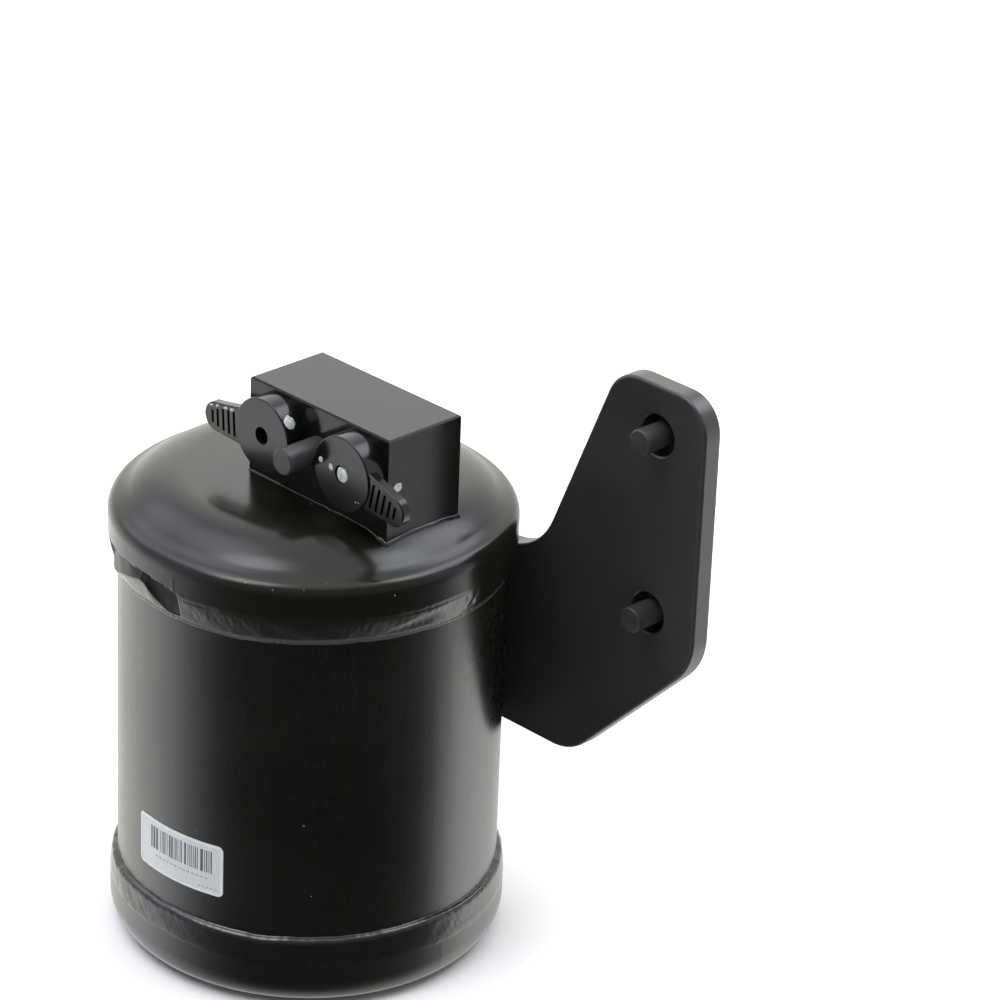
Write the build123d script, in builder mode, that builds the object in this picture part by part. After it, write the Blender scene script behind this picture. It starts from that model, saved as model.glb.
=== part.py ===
from build123d import *
from math import sin, cos, tan, radians, sqrt
import os

os.makedirs("parts", exist_ok=True)

# Receiver drier: welded steel can, ported block on its lid, side bracket.
# Millimetres, +Z up. Origin on the can's axis at the face it stands on.
# The two ports face -Y. The bracket plate lies on the +Y side and runs to +X.

# ---- can ----
TUBE_R = 50.8            # outer radius of the body tube (4 in)
TUBE_T = 2.0             # wall
TUBE_Z0 = 8.5            # tube's lower end, inside the bottom cup
TUBE_Z1 = 118.0          # tube's upper end, inside the lid
IN_R = TUBE_R - TUBE_T

BASE_R = 52.8            # bottom cup, lapped over the tube
BASE_T = 2.0
BASE_KNUCKLE = 8.0
BASE_RIM_Z = 15.0

LID_R = 53.3             # lid, lapped over the tube
LID_T = 2.5
LID_RIM_Z = 111.0
LID_CORNER_R = 3.9       # outer corner of the lid
LID_CORNER_Z = 119.75
LID_SLOPE = 22.0         # degrees, sloping shoulder
LID_STEP = 40.0          # degrees, steepest part below the raised middle
LID_TOP_R = 33.0         # flat middle ends here
LID_TOP_Z = 130.6
LID_TOP_ROLL = 22.5

# ---- seams ----
TOP_SEAM = (106.2, 113.2)      # toe on the tube, toe on the lid
LOW_SEAM = (20.2, 13.2)

# ---- ported block ----
BLK_X0, BLK_X1 = -10.6, 41.0
BLK_Y0, BLK_Y1 = -13.1, 11.7
BLK_TOP = 156.8
BLK_CX = (BLK_X0 + BLK_X1) / 2
BLK_CY = (BLK_Y0 + BLK_Y1) / 2
BLK_EDGE = 0.45
PORT_Z = 145.7
OUT_X, IN_X = 0.3, 30.1        # outlet over the can's axis, inlet to its right
PORT_BORE_R, PORT_BORE_L = 8.0, 9.0
PORT_THROAT_R = 5.0
DRILL_R = 4.75                 # vertical drillings
PLUG_R = 3.5                   # M8 thread, drawn plain at the plug's size
PLUG_HOLE_L = 16.0
PLUG_X = 15.4

# ---- bracket ----
BR_T = 6.0
BR_Z0, BR_Z1 = 48.3, 101.0     # height of the part that wraps the tube
BR_WRAP = 53.0                 # degrees of wrap behind the tangent line
BR_EDGE = 0.8
BR_X1, BR_TOP = 88.4, 164.1
HOLE_X, HOLE_Z = 72.1, (150.4, 100.1)
HOLE_R = 5.65
NUT_R, NUT_NECK_R = 6.45, 5.95
NUT_Y = (56.8, 57.4, 61.75)
STEM_R = 3.45
STEM_Y = (44.2, 64.5, 69.4)

# ---- port caps ----
CAP_FRONT_Y = -18.95
CAP_R = 10.0
CAP_HOLE_R = 2.35
TAB_STEP = 0.45                # finger tab's face lies this far behind the cap's
TAB_T = 2.5
SPIGOT_L = 7.5

# ---- inside ----
PICK_R, PICK_BORE = 4.75, 3.75
PICK_Z = (6.0, 141.0)
BED_Z = (24.0, 27.0, 28.2, 34.2, 92.0, 98.0, 99.2)  # ring, plate, pad, beads, pad, plate
BED_R = 48.6


def lid_points(t):
    """Points of the lid's section, t inside its outer face, as (radius, z)."""
    a, b = radians(LID_SLOPE), radians(LID_STEP)
    cx, cz = LID_R - LID_CORNER_R, LID_CORNER_Z
    p2 = (cx + LID_CORNER_R * sin(a), cz + LID_CORNER_R * cos(a))
    tx, tz = LID_TOP_R, LID_TOP_Z - LID_TOP_ROLL
    p4 = (tx + LID_TOP_ROLL * sin(b), tz + LID_TOP_ROLL * cos(b))
    dr, dz = p2[0] - p4[0], p4[1] - p2[1]
    # straight length s and hollow radius q that join the two rounded corners
    m11, m12, m21, m22 = cos(a), sin(b) - sin(a), sin(a), cos(a) - cos(b)
    det = m11 * m22 - m12 * m21
    s = (dr * m22 - m12 * dz) / det
    q = (m11 * dz - m21 * dr) / det
    p3 = (p2[0] - s * cos(a), p2[1] + s * sin(a))
    hx, hz = p3[0] + q * sin(a), p3[1] + q * cos(a)
    rc, qq, rt = LID_CORNER_R - t, q + t, LID_TOP_ROLL - t
    c = (a + b) / 2
    return {
        "rim": (LID_R - t, LID_RIM_Z),
        "corner0": (cx + rc, cz),
        "corner_m": (cx + rc * cos((radians(90) - a) / 2), cz + rc * sin((radians(90) - a) / 2)),
        "corner1": (cx + rc * sin(a), cz + rc * cos(a)),
        "hollow0": (hx - qq * sin(a), hz - qq * cos(a)),
        "hollow_m": (hx - qq * sin(c), hz - qq * cos(c)),
        "hollow1": (hx - qq * sin(b), hz - qq * cos(b)),
        "roll_m": (tx + rt * sin(b / 2), tz + rt * cos(b / 2)),
        "roll1": (tx, tz + rt),
        "mid": (0, tz + rt),
    }


LO = lid_points(0)
LI = lid_points(LID_T)


def turned_plane(deg):
    """The X-Z plane turned about Z, its local x pointing along the given angle."""
    a = radians(deg)
    return Plane(origin=(0, 0, 0), x_dir=(cos(a), sin(a), 0), z_dir=(sin(a), -cos(a), 0))


# ---------------------------------------------------------------- body tube
with BuildPart() as tank_tube:
    with BuildSketch(Plane.XY.offset(TUBE_Z0)):
        Circle(TUBE_R)
        Circle(IN_R, mode=Mode.SUBTRACT)
    extrude(amount=TUBE_Z1 - TUBE_Z0)

# ---------------------------------------------------------------- bottom cup
with BuildPart() as bottom_cap:
    with BuildSketch(Plane.XZ):
        k, t = BASE_KNUCKLE, BASE_T
        h = sin(radians(45))
        with BuildLine():
            Line((0, 0), (BASE_R - k, 0))
            ThreePointArc((BASE_R - k, 0), (BASE_R - k + k * h, k - k * h), (BASE_R, k))
            Line((BASE_R, k), (BASE_R, BASE_RIM_Z))
            Line((BASE_R, BASE_RIM_Z), (BASE_R - t, BASE_RIM_Z))
            Line((BASE_R - t, BASE_RIM_Z), (BASE_R - t, k))
            ThreePointArc(
                (BASE_R - t, k),
                (BASE_R - k + (k - t) * h, k - (k - t) * h),
                (BASE_R - k, t),
            )
            Line((BASE_R - k, t), (0, t))
            Line((0, t), (0, 0))
        make_face()
    revolve(axis=Axis.Z)

# ---------------------------------------------------------------- lid
with BuildPart() as top_cap:
    with BuildSketch(Plane.XZ):
        with BuildLine():
            Line(LI["mid"], LO["mid"])
            Line(LO["mid"], LO["roll1"])
            ThreePointArc(LO["roll1"], LO["roll_m"], LO["hollow1"])
            ThreePointArc(LO["hollow1"], LO["hollow_m"], LO["hollow0"])
            Line(LO["hollow0"], LO["corner1"])
            ThreePointArc(LO["corner1"], LO["corner_m"], LO["corner0"])
            Line(LO["corner0"], LO["rim"])
            Line(LO["rim"], LI["rim"])
            Line(LI["rim"], LI["corner0"])
            ThreePointArc(LI["corner0"], LI["corner_m"], LI["corner1"])
            Line(LI["corner1"], LI["hollow0"])
            ThreePointArc(LI["hollow0"], LI["hollow_m"], LI["hollow1"])
            ThreePointArc(LI["hollow1"], LI["roll_m"], LI["roll1"])
            Line(LI["roll1"], LI["mid"])
        make_face()
    revolve(axis=Axis.Z)
    with BuildSketch(Plane.XY.offset(LID_TOP_Z + 1)):
        with Locations((OUT_X, BLK_CY), (IN_X, BLK_CY)):
            Circle(DRILL_R)
    extrude(amount=-6, mode=Mode.SUBTRACT)

# the space below the lid's outer face, used to cut the block's foot and its weld
with BuildPart() as lid_space:
    with BuildSketch(Plane.XZ):
        with BuildLine():
            Line((0, LID_RIM_Z), LO["mid"])
            Line(LO["mid"], LO["roll1"])
            ThreePointArc(LO["roll1"], LO["roll_m"], LO["hollow1"])
            ThreePointArc(LO["hollow1"], LO["hollow_m"], LO["hollow0"])
            Line(LO["hollow0"], LO["corner1"])
            ThreePointArc(LO["corner1"], LO["corner_m"], LO["corner0"])
            Line(LO["corner0"], LO["rim"])
            Line(LO["rim"], (0, LID_RIM_Z))
        make_face()
    revolve(axis=Axis.Z)

# ---------------------------------------------------------------- seam welds
with BuildPart() as top_seam_weld:
    with BuildSketch(Plane.XZ):
        with BuildLine():
            Line((TUBE_R, TOP_SEAM[0]), (TUBE_R, LID_RIM_Z))
            Line((TUBE_R, LID_RIM_Z), (LID_R, LID_RIM_Z))
            Line((LID_R, LID_RIM_Z), (LID_R, TOP_SEAM[1]))
            ThreePointArc((LID_R, TOP_SEAM[1]), (52.95, 109.4), (TUBE_R, TOP_SEAM[0]))
        make_face()
    revolve(axis=Axis.Z)

with BuildPart() as bottom_seam_weld:
    with BuildSketch(Plane.XZ):
        with BuildLine():
            Line((TUBE_R, LOW_SEAM[0]), (TUBE_R, BASE_RIM_Z))
            Line((TUBE_R, BASE_RIM_Z), (BASE_R, BASE_RIM_Z))
            Line((BASE_R, BASE_RIM_Z), (BASE_R, LOW_SEAM[1]))
            ThreePointArc((BASE_R, LOW_SEAM[1]), (52.6, 17.1), (TUBE_R, LOW_SEAM[0]))
        make_face()
    revolve(axis=Axis.Z)

# ---------------------------------------------------------------- ported block
FRONT = Plane(origin=(0, BLK_Y0, 0), x_dir=(1, 0, 0), z_dir=(0, -1, 0))

FOOT_Z = LID_TOP_Z - 5.0       # lower than the lid anywhere under the block

with BuildPart() as port_block:
    with BuildSketch(Plane.XY.offset(FOOT_Z)):
        with Locations((BLK_CX, BLK_CY)):
            Rectangle(BLK_X1 - BLK_X0, BLK_Y1 - BLK_Y0)
    extrude(amount=BLK_TOP - FOOT_Z)
    chamfer(port_block.faces().sort_by(Axis.Z)[-1].edges(), BLK_EDGE)
    # the foot is cut to sit on the lid
    add(lid_space.part, mode=Mode.SUBTRACT)
    # two stepped ports in the front face
    with BuildSketch(FRONT):
        with Locations((OUT_X, PORT_Z), (IN_X, PORT_Z)):
            Circle(PORT_BORE_R)
    extrude(amount=-PORT_BORE_L, mode=Mode.SUBTRACT)
    with BuildSketch(FRONT.offset(-PORT_BORE_L)):
        with Locations((OUT_X, PORT_Z), (IN_X, PORT_Z)):
            Circle(PORT_THROAT_R)
    extrude(amount=-(BLK_CY - BLK_Y0 - PORT_BORE_L + PORT_THROAT_R), mode=Mode.SUBTRACT)
    # drillings down into the can
    with BuildSketch(Plane.XY.offset(LID_TOP_Z)):
        with Locations((OUT_X, BLK_CY), (IN_X, BLK_CY)):
            Circle(DRILL_R)
    extrude(amount=PORT_Z - LID_TOP_Z, mode=Mode.SUBTRACT)
    # tapped hole between the ports
    with BuildSketch(FRONT):
        with Locations((PLUG_X, PORT_Z)):
            Circle(PLUG_R)
    extrude(amount=-PLUG_HOLE_L, mode=Mode.SUBTRACT)

# thin bead round the block's foot, following the lid
WELD_LEG = 0.9
WO = lid_points(-WELD_LEG)


def above_lid(e):
    """How far an edge's middle stands above the lid's raised middle and its roll."""
    r = sqrt(e.center().X ** 2 + e.center().Y ** 2) - LID_TOP_R
    z = LID_TOP_Z if r < 0 else LID_TOP_Z - LID_TOP_ROLL + sqrt(LID_TOP_ROLL**2 - r**2)
    return e.center().Z - z


def beside_block(e):
    """How far an edge's middle stands out from the block's walls."""
    return max(
        abs(e.center().X - BLK_CX) - (BLK_X1 - BLK_X0) / 2,
        abs(e.center().Y - BLK_CY) - (BLK_Y1 - BLK_Y0) / 2,
    )


with BuildPart() as bead_space:
    with BuildSketch(Plane.XZ):
        with BuildLine():
            Line((0, FOOT_Z - 5), WO["mid"])
            Line(WO["mid"], WO["roll1"])
            ThreePointArc(WO["roll1"], WO["roll_m"], WO["hollow1"])
            Line(WO["hollow1"], (WO["hollow1"][0], FOOT_Z - 5))
            Line((WO["hollow1"][0], FOOT_Z - 5), (0, FOOT_Z - 5))
        make_face()
    revolve(axis=Axis.Z)

with BuildPart() as port_block_weld:
    with BuildSketch(Plane.XY.offset(FOOT_Z - 1)):
        with Locations((BLK_CX, BLK_CY)):
            RectangleRounded(BLK_X1 - BLK_X0 + 2 * WELD_LEG, BLK_Y1 - BLK_Y0 + 2 * WELD_LEG, WELD_LEG)
            Rectangle(BLK_X1 - BLK_X0, BLK_Y1 - BLK_Y0, mode=Mode.SUBTRACT)
    extrude(amount=10)
    add(bead_space.part, mode=Mode.INTERSECT)
    add(lid_space.part, mode=Mode.SUBTRACT)
    chamfer(
        port_block_weld.edges().filter_by(
            lambda e: above_lid(e) > 0.6 * WELD_LEG and beside_block(e) > 0.6 * WELD_LEG
        ),
        0.6 * WELD_LEG,
    )

# ---------------------------------------------------------------- bracket
PLATE = Plane(origin=(0, TUBE_R, 0), x_dir=(1, 0, 0), z_dir=(0, -1, 0))

with BuildPart() as bracket_wrap:
    with BuildSketch(turned_plane(90)):
        with BuildLine():
            Polyline(
                (TUBE_R, BR_Z0), (TUBE_R + BR_T, BR_Z0), (TUBE_R + BR_T, BR_Z1), (TUBE_R, BR_Z1),
                close=True,
            )
        make_face()
    revolve(axis=Axis.Z, revolution_arc=BR_WRAP)
    fillet(
        bracket_wrap.edges().filter_by(
            lambda e: e.center().X < -20 and abs(e.length - BR_T) < 0.01 and abs(e.tangent_at(0.5).Z) < 0.1
        ),
        6,
    )
    fillet(
        bracket_wrap.faces()
        .filter_by(GeomType.CYLINDER)
        .filter_by(lambda f: f.area > 1000)
        .edges()
        .filter_by(lambda e: e.center().X < -0.01),
        BR_EDGE,
    )

with BuildPart() as mounting_bracket:
    with BuildSketch(PLATE):
        with BuildLine():
            FilletPolyline(
                (0, BR_Z0),
                (47.0, BR_Z0),
                (BR_X1, 89.7),
                (BR_X1, BR_TOP),
                (57.25, BR_TOP),
                (31.41, BR_Z1),
                (0, BR_Z1),
                radius=[16, 18, 10, 11, 20],
            )
            Line((0, BR_Z1), (0, BR_Z0))
        make_face()
    extrude(amount=-BR_T)
    fillet(
        mounting_bracket.faces()
        .filter_by(Axis.Y)
        .edges()
        .filter_by(lambda e: e.center().X > 0.01),
        BR_EDGE,
    )
    with BuildSketch(PLATE):
        with Locations((HOLE_X, HOLE_Z[0]), (HOLE_X, HOLE_Z[1])):
            Circle(HOLE_R)
    extrude(amount=-BR_T, mode=Mode.SUBTRACT)
    chamfer(
        mounting_bracket.edges()
        .filter_by(GeomType.CIRCLE)
        .filter_by(lambda e: abs(e.radius - HOLE_R) < 0.01 and abs(e.center().Y - TUBE_R) < 0.01),
        0.4,
    )
    add(bracket_wrap.part)

# bead in the corner where the plate leaves the tube
with BuildPart() as bracket_corner_weld:
    x0, x1, x2 = 6.0, 17.2, 20.6

    def on_tube(x):
        return (x, sqrt(TUBE_R**2 - x**2))

    with BuildSketch(Plane.XY.offset(BR_Z0 + 2.5)):
        with BuildLine():
            Line((x0, TUBE_R), (x2, TUBE_R))
            ThreePointArc((x2, TUBE_R), (19.35, 48.85), on_tube(x1))
            ThreePointArc(on_tube(x1), on_tube((x0 + x1) / 2), on_tube(x0))
            Line(on_tube(x0), (x0, TUBE_R))
        make_face()
    extrude(amount=BR_Z1 - BR_Z0 - 6.0)

# stitches along the wrap's upper and lower edge
with BuildPart() as bracket_edge_welds:
    with BuildSketch(turned_plane(100)):
        with BuildLine():
            Line((TUBE_R, BR_Z1), (TUBE_R + 2.4, BR_Z1))
            ThreePointArc(
                (TUBE_R + 2.4, BR_Z1), (TUBE_R + 1.5, BR_Z1 + 1.5), (TUBE_R, BR_Z1 + 2.4)
            )
            Line((TUBE_R, BR_Z1 + 2.4), (TUBE_R, BR_Z1))
        make_face()
    revolve(axis=Axis.Z, revolution_arc=32)
    with BuildSketch(turned_plane(100)):
        with BuildLine():
            Line((TUBE_R, BR_Z0), (TUBE_R + 2.4, BR_Z0))
            ThreePointArc(
                (TUBE_R + 2.4, BR_Z0), (TUBE_R + 1.5, BR_Z0 - 1.5), (TUBE_R, BR_Z0 - 2.4)
            )
            Line((TUBE_R, BR_Z0 - 2.4), (TUBE_R, BR_Z0))
        make_face()
    revolve(axis=Axis.Z, revolution_arc=32)

# ---------------------------------------------------------------- weld nuts
with BuildPart() as bracket_weld_nuts:
    for z in HOLE_Z:
        with BuildSketch(PLATE.offset(-(NUT_Y[0] - TUBE_R))):
            with Locations((HOLE_X, z)):
                Circle(NUT_NECK_R)
        extrude(amount=-(NUT_Y[1] - NUT_Y[0]))
        with BuildSketch(PLATE.offset(-(NUT_Y[1] - TUBE_R))):
            with Locations((HOLE_X, z)):
                Circle(NUT_R)
        extrude(amount=-(NUT_Y[2] - NUT_Y[1]))
    fillet(
        bracket_weld_nuts.edges()
        .filter_by(GeomType.CIRCLE)
        .filter_by(lambda e: abs(e.center().Y - NUT_Y[2]) < 0.01),
        0.9,
    )
    for z in HOLE_Z:
        with BuildSketch(PLATE.offset(-(NUT_Y[0] - TUBE_R))):
            with Locations((HOLE_X, z)):
                Circle(STEM_R)
        extrude(amount=-(NUT_Y[2] - NUT_Y[0]), mode=Mode.SUBTRACT)

# ---------------------------------------------------------------- thread plugs
with BuildPart() as bracket_thread_plugs:
    for z in HOLE_Z:
        with BuildSketch(PLATE.offset(-(STEM_Y[0] - TUBE_R))):
            with Locations((HOLE_X, z)):
                Circle(STEM_R)
        extrude(amount=-(STEM_Y[1] - STEM_Y[0]))
        with BuildSketch(PLATE.offset(-(STEM_Y[1] - TUBE_R))):
            with Locations((HOLE_X, z)):
                Circle(STEM_R)
        with BuildSketch(PLATE.offset(-(STEM_Y[2] - TUBE_R))):
            with Locations((HOLE_X, z)):
                Circle(0.45)
        loft()
    chamfer(
        bracket_thread_plugs.edges()
        .filter_by(GeomType.CIRCLE)
        .filter_by(lambda e: abs(e.center().Y - STEM_Y[0]) < 0.01),
        0.35,
    )

with BuildPart() as block_thread_plug:
    with BuildSketch(FRONT.offset(12.65)):
        with Locations((PLUG_X, PORT_Z)):
            Circle(PLUG_R)
    extrude(amount=-(12.65 + 13.0))
    chamfer(
        block_thread_plug.edges()
        .filter_by(GeomType.CIRCLE)
        .filter_by(lambda e: e.center().Y < BLK_Y0 - 12),
        0.35,
    )


# ---------------------------------------------------------------- port caps
def cap_plane(x, deg):
    """Plane on a cap's front, its local x along the finger tab, z into the block."""
    a = radians(deg)
    return Plane(origin=(x, CAP_FRONT_Y, PORT_Z), x_dir=(cos(a), 0, sin(a)), z_dir=(0, 1, 0))


OUT_CAP = cap_plane(OUT_X, 184)
IN_CAP = cap_plane(IN_X, -12)
CAP_T = BLK_Y0 - CAP_FRONT_Y
TAB_ROOT, TAB_END, TAB_TIP = (5.0, 5.55), (18.3, 3.95), (22.5, 0.0)
GRIPS = [(11.0, 7.0), (13.1, 6.7), (15.2, 6.0), (17.3, 4.9), (19.3, 3.5)]

with BuildPart() as outlet_port_cap:
    with BuildSketch(OUT_CAP.offset(TAB_STEP)):
        with BuildLine():
            Line(TAB_ROOT, TAB_END)
            ThreePointArc(TAB_END, TAB_TIP, (TAB_END[0], -TAB_END[1]))
            Line((TAB_END[0], -TAB_END[1]), (TAB_ROOT[0], -TAB_ROOT[1]))
            Line((TAB_ROOT[0], -TAB_ROOT[1]), TAB_ROOT)
        make_face()
    extrude(amount=TAB_T)
    fillet(outlet_port_cap.faces().sort_by(Axis.Y)[0].edges(), 0.45)
    with BuildSketch(OUT_CAP):
        Circle(CAP_R)
    extrude(amount=CAP_T)
    fillet(outlet_port_cap.faces().sort_by(Axis.Y)[0].edges(), 0.4)
    with BuildSketch(OUT_CAP.offset(CAP_T)):
        Circle(PORT_BORE_R - 0.1)
    extrude(amount=SPIGOT_L)
    with BuildSketch(OUT_CAP.offset(CAP_T + 3.0)):
        Circle(PORT_BORE_R)
    extrude(amount=1.2)
    with BuildSketch(OUT_CAP):
        Circle(CAP_HOLE_R)
        with Locations((GRIPS[0][0], 0)):
            Rectangle(0.9, GRIPS[0][1])
        with Locations((GRIPS[1][0], 0)):
            Rectangle(0.9, GRIPS[1][1])
        with Locations((GRIPS[2][0], 0)):
            Rectangle(0.9, GRIPS[2][1])
        with Locations((GRIPS[3][0], 0)):
            Rectangle(0.9, GRIPS[3][1])
        with Locations((GRIPS[4][0], 0)):
            Rectangle(0.9, GRIPS[4][1])
    extrude(amount=TAB_STEP + 1.3, mode=Mode.SUBTRACT)
    with BuildSketch(OUT_CAP.offset(1.0)):
        Circle(CAP_HOLE_R)
    extrude(amount=CAP_T + SPIGOT_L - 3.0, mode=Mode.SUBTRACT)

with BuildPart() as inlet_port_cap:
    with BuildSketch(IN_CAP.offset(TAB_STEP)):
        with BuildLine():
            Line(TAB_ROOT, TAB_END)
            ThreePointArc(TAB_END, TAB_TIP, (TAB_END[0], -TAB_END[1]))
            Line((TAB_END[0], -TAB_END[1]), (TAB_ROOT[0], -TAB_ROOT[1]))
            Line((TAB_ROOT[0], -TAB_ROOT[1]), TAB_ROOT)
        make_face()
    extrude(amount=TAB_T)
    fillet(inlet_port_cap.faces().sort_by(Axis.Y)[0].edges(), 0.45)
    with BuildSketch(IN_CAP):
        Circle(CAP_R)
    extrude(amount=CAP_T)
    fillet(inlet_port_cap.faces().sort_by(Axis.Y)[0].edges(), 0.4)
    with BuildSketch(IN_CAP.offset(CAP_T)):
        Circle(PORT_BORE_R - 0.1)
    extrude(amount=SPIGOT_L)
    with BuildSketch(IN_CAP.offset(CAP_T + 3.0)):
        Circle(PORT_BORE_R)
    extrude(amount=1.2)
    with BuildSketch(IN_CAP):
        Circle(CAP_HOLE_R)
        with Locations((GRIPS[0][0], 0)):
            Rectangle(0.9, GRIPS[0][1])
        with Locations((GRIPS[1][0], 0)):
            Rectangle(0.9, GRIPS[1][1])
        with Locations((GRIPS[2][0], 0)):
            Rectangle(0.9, GRIPS[2][1])
        with Locations((GRIPS[3][0], 0)):
            Rectangle(0.9, GRIPS[3][1])
        with Locations((GRIPS[4][0], 0)):
            Rectangle(0.9, GRIPS[4][1])
    extrude(amount=TAB_STEP + 1.3, mode=Mode.SUBTRACT)
    with BuildSketch(IN_CAP.offset(1.0)):
        Circle(CAP_HOLE_R)
    extrude(amount=CAP_T + SPIGOT_L - 3.0, mode=Mode.SUBTRACT)

# ---------------------------------------------------------------- label
LABEL_Z = (29.3, 44.2)
LABEL_AZ = (-11.3, 22.2)       # degrees from -Y towards +X
LABEL_T = 0.15
with BuildPart() as tube_label:
    with BuildSketch(turned_plane(-90 + LABEL_AZ[0])):
        with BuildLine():
            Polyline(
                (TUBE_R, LABEL_Z[0]), (TUBE_R + LABEL_T, LABEL_Z[0]),
                (TUBE_R + LABEL_T, LABEL_Z[1]), (TUBE_R, LABEL_Z[1]), close=True,
            )
        make_face()
    revolve(axis=Axis.Z, revolution_arc=LABEL_AZ[1] - LABEL_AZ[0])
    fillet(tube_label.edges().filter_by(lambda e: e.length < 2 * LABEL_T), 1.5)

# ---------------------------------------------------------------- inside the can
RING_Z, LOW_PLATE_Z, LOW_PAD_Z, BED_Z0, UP_PAD_Z, UP_PLATE_Z, SPRING_Z = BED_Z
PLATE_T = LOW_PAD_Z - LOW_PLATE_Z

with BuildPart() as pickup_tube:
    with BuildSketch(Plane.XY.offset(PICK_Z[0])):
        with Locations((OUT_X, BLK_CY)):
            Circle(PICK_R)
            Circle(PICK_BORE, mode=Mode.SUBTRACT)
    extrude(amount=PICK_Z[1] - PICK_Z[0])

with BuildPart() as pickup_strainer:
    with BuildSketch(Plane.XY.offset(4.0)):
        with Locations((OUT_X, BLK_CY)):
            Circle(8.0)
    extrude(amount=16.0)
    with BuildSketch(Plane.XY.offset(4.8)):
        with Locations((OUT_X, BLK_CY)):
            Circle(7.2)
    extrude(amount=14.4, mode=Mode.SUBTRACT)
    with BuildSketch(Plane.XY.offset(19.0)):
        with Locations((OUT_X, BLK_CY)):
            Circle(PICK_R)
    extrude(amount=2, mode=Mode.SUBTRACT)
    for level in (6.0, 10.2, 14.4):
        with BuildSketch(Plane.XZ.offset(-9)):
            with Locations((OUT_X, level + 1.5)):
                Rectangle(1.6, 3.0)
        extrude(amount=20, mode=Mode.SUBTRACT)
        with BuildSketch(Plane.YZ.offset(-9)):
            with Locations((BLK_CY, level + 1.5)):
                Rectangle(1.6, 3.0)
        extrude(amount=20, mode=Mode.SUBTRACT)

with BuildPart() as bed_support_ring:
    with BuildSketch(Plane.XY.offset(RING_Z)):
        Circle(IN_R)
        Circle(IN_R - 3.5, mode=Mode.SUBTRACT)
    extrude(amount=LOW_PLATE_Z - RING_Z)

with BuildPart() as lower_retainer_plate:
    with BuildSketch(Plane.XY.offset(LOW_PLATE_Z)):
        Circle(BED_R)
        with Locations((OUT_X, BLK_CY)):
            Circle(PICK_R, mode=Mode.SUBTRACT)
        with PolarLocations(11.0, 8):
            Circle(2.0, mode=Mode.SUBTRACT)
        with PolarLocations(19.0, 14):
            Circle(2.0, mode=Mode.SUBTRACT)
        with PolarLocations(27.0, 20):
            Circle(2.0, mode=Mode.SUBTRACT)
        with PolarLocations(35.0, 26):
            Circle(2.0, mode=Mode.SUBTRACT)
        with PolarLocations(42.0, 32):
            Circle(2.0, mode=Mode.SUBTRACT)
    extrude(amount=PLATE_T)

with BuildPart() as lower_filter_pad:
    with BuildSketch(Plane.XY.offset(LOW_PAD_Z)):
        Circle(BED_R)
        with Locations((OUT_X, BLK_CY)):
            Circle(PICK_R, mode=Mode.SUBTRACT)
    extrude(amount=BED_Z0 - LOW_PAD_Z)

with BuildPart() as desiccant_bed:
    with BuildSketch(Plane.XY.offset(BED_Z0)):
        Circle(BED_R)
        with Locations((OUT_X, BLK_CY)):
            Circle(PICK_R, mode=Mode.SUBTRACT)
    extrude(amount=UP_PAD_Z - BED_Z0)

with BuildPart() as upper_filter_pad:
    with BuildSketch(Plane.XY.offset(UP_PAD_Z)):
        Circle(BED_R)
        with Locations((OUT_X, BLK_CY)):
            Circle(PICK_R, mode=Mode.SUBTRACT)
    extrude(amount=UP_PLATE_Z - UP_PAD_Z)

with BuildPart() as upper_retainer_plate:
    with BuildSketch(Plane.XY.offset(UP_PLATE_Z)):
        Circle(BED_R)
        with Locations((OUT_X, BLK_CY)):
            Circle(PICK_R, mode=Mode.SUBTRACT)
        with PolarLocations(11.0, 8):
            Circle(2.0, mode=Mode.SUBTRACT)
        with PolarLocations(27.0, 20):
            Circle(2.0, mode=Mode.SUBTRACT)
        with PolarLocations(35.0, 26):
            Circle(2.0, mode=Mode.SUBTRACT)
        with PolarLocations(42.0, 32):
            Circle(2.0, mode=Mode.SUBTRACT)
    extrude(amount=SPRING_Z - UP_PLATE_Z)

# compression spring between the upper plate and the lid, round the pickup tube
SPRING_R, WIRE_R, TURNS = 19.0, 1.2, 4
LID_IN_Z = LID_TOP_Z - LID_T
with BuildPart() as hold_down_spring:
    z0, z1 = SPRING_Z + WIRE_R, LID_IN_Z - WIRE_R
    with BuildLine() as coil:
        Helix(pitch=(z1 - z0) / TURNS, height=z1 - z0, radius=SPRING_R, center=(0, 0, z0))
    with BuildSketch(Plane(origin=coil.line @ 0, z_dir=coil.line % 0)):
        Circle(WIRE_R)
    sweep(path=coil.line, is_frenet=True)

# ---------------------------------------------------------------- write
tank_tube.part.label = "tank_tube"
export_step(tank_tube.part, "parts/tank_tube.step")
top_cap.part.label = "top_cap"
export_step(top_cap.part, "parts/top_cap.step")
bottom_cap.part.label = "bottom_cap"
export_step(bottom_cap.part, "parts/bottom_cap.step")
top_seam_weld.part.label = "top_seam_weld"
export_step(top_seam_weld.part, "parts/top_seam_weld.step")
bottom_seam_weld.part.label = "bottom_seam_weld"
export_step(bottom_seam_weld.part, "parts/bottom_seam_weld.step")
port_block.part.label = "port_block"
export_step(port_block.part, "parts/port_block.step")
port_block_weld.part.label = "port_block_weld"
export_step(port_block_weld.part, "parts/port_block_weld.step")
mounting_bracket.part.label = "mounting_bracket"
export_step(mounting_bracket.part, "parts/mounting_bracket.step")
bracket_corner_weld.part.label = "bracket_corner_weld"
export_step(bracket_corner_weld.part, "parts/bracket_corner_weld.step")
bracket_edge_welds.part.label = "bracket_edge_welds"
export_step(bracket_edge_welds.part, "parts/bracket_edge_welds.step")
bracket_weld_nuts.part.label = "bracket_weld_nuts"
export_step(bracket_weld_nuts.part, "parts/bracket_weld_nuts.step")
bracket_thread_plugs.part.label = "bracket_thread_plugs"
export_step(bracket_thread_plugs.part, "parts/bracket_thread_plugs.step")
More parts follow.
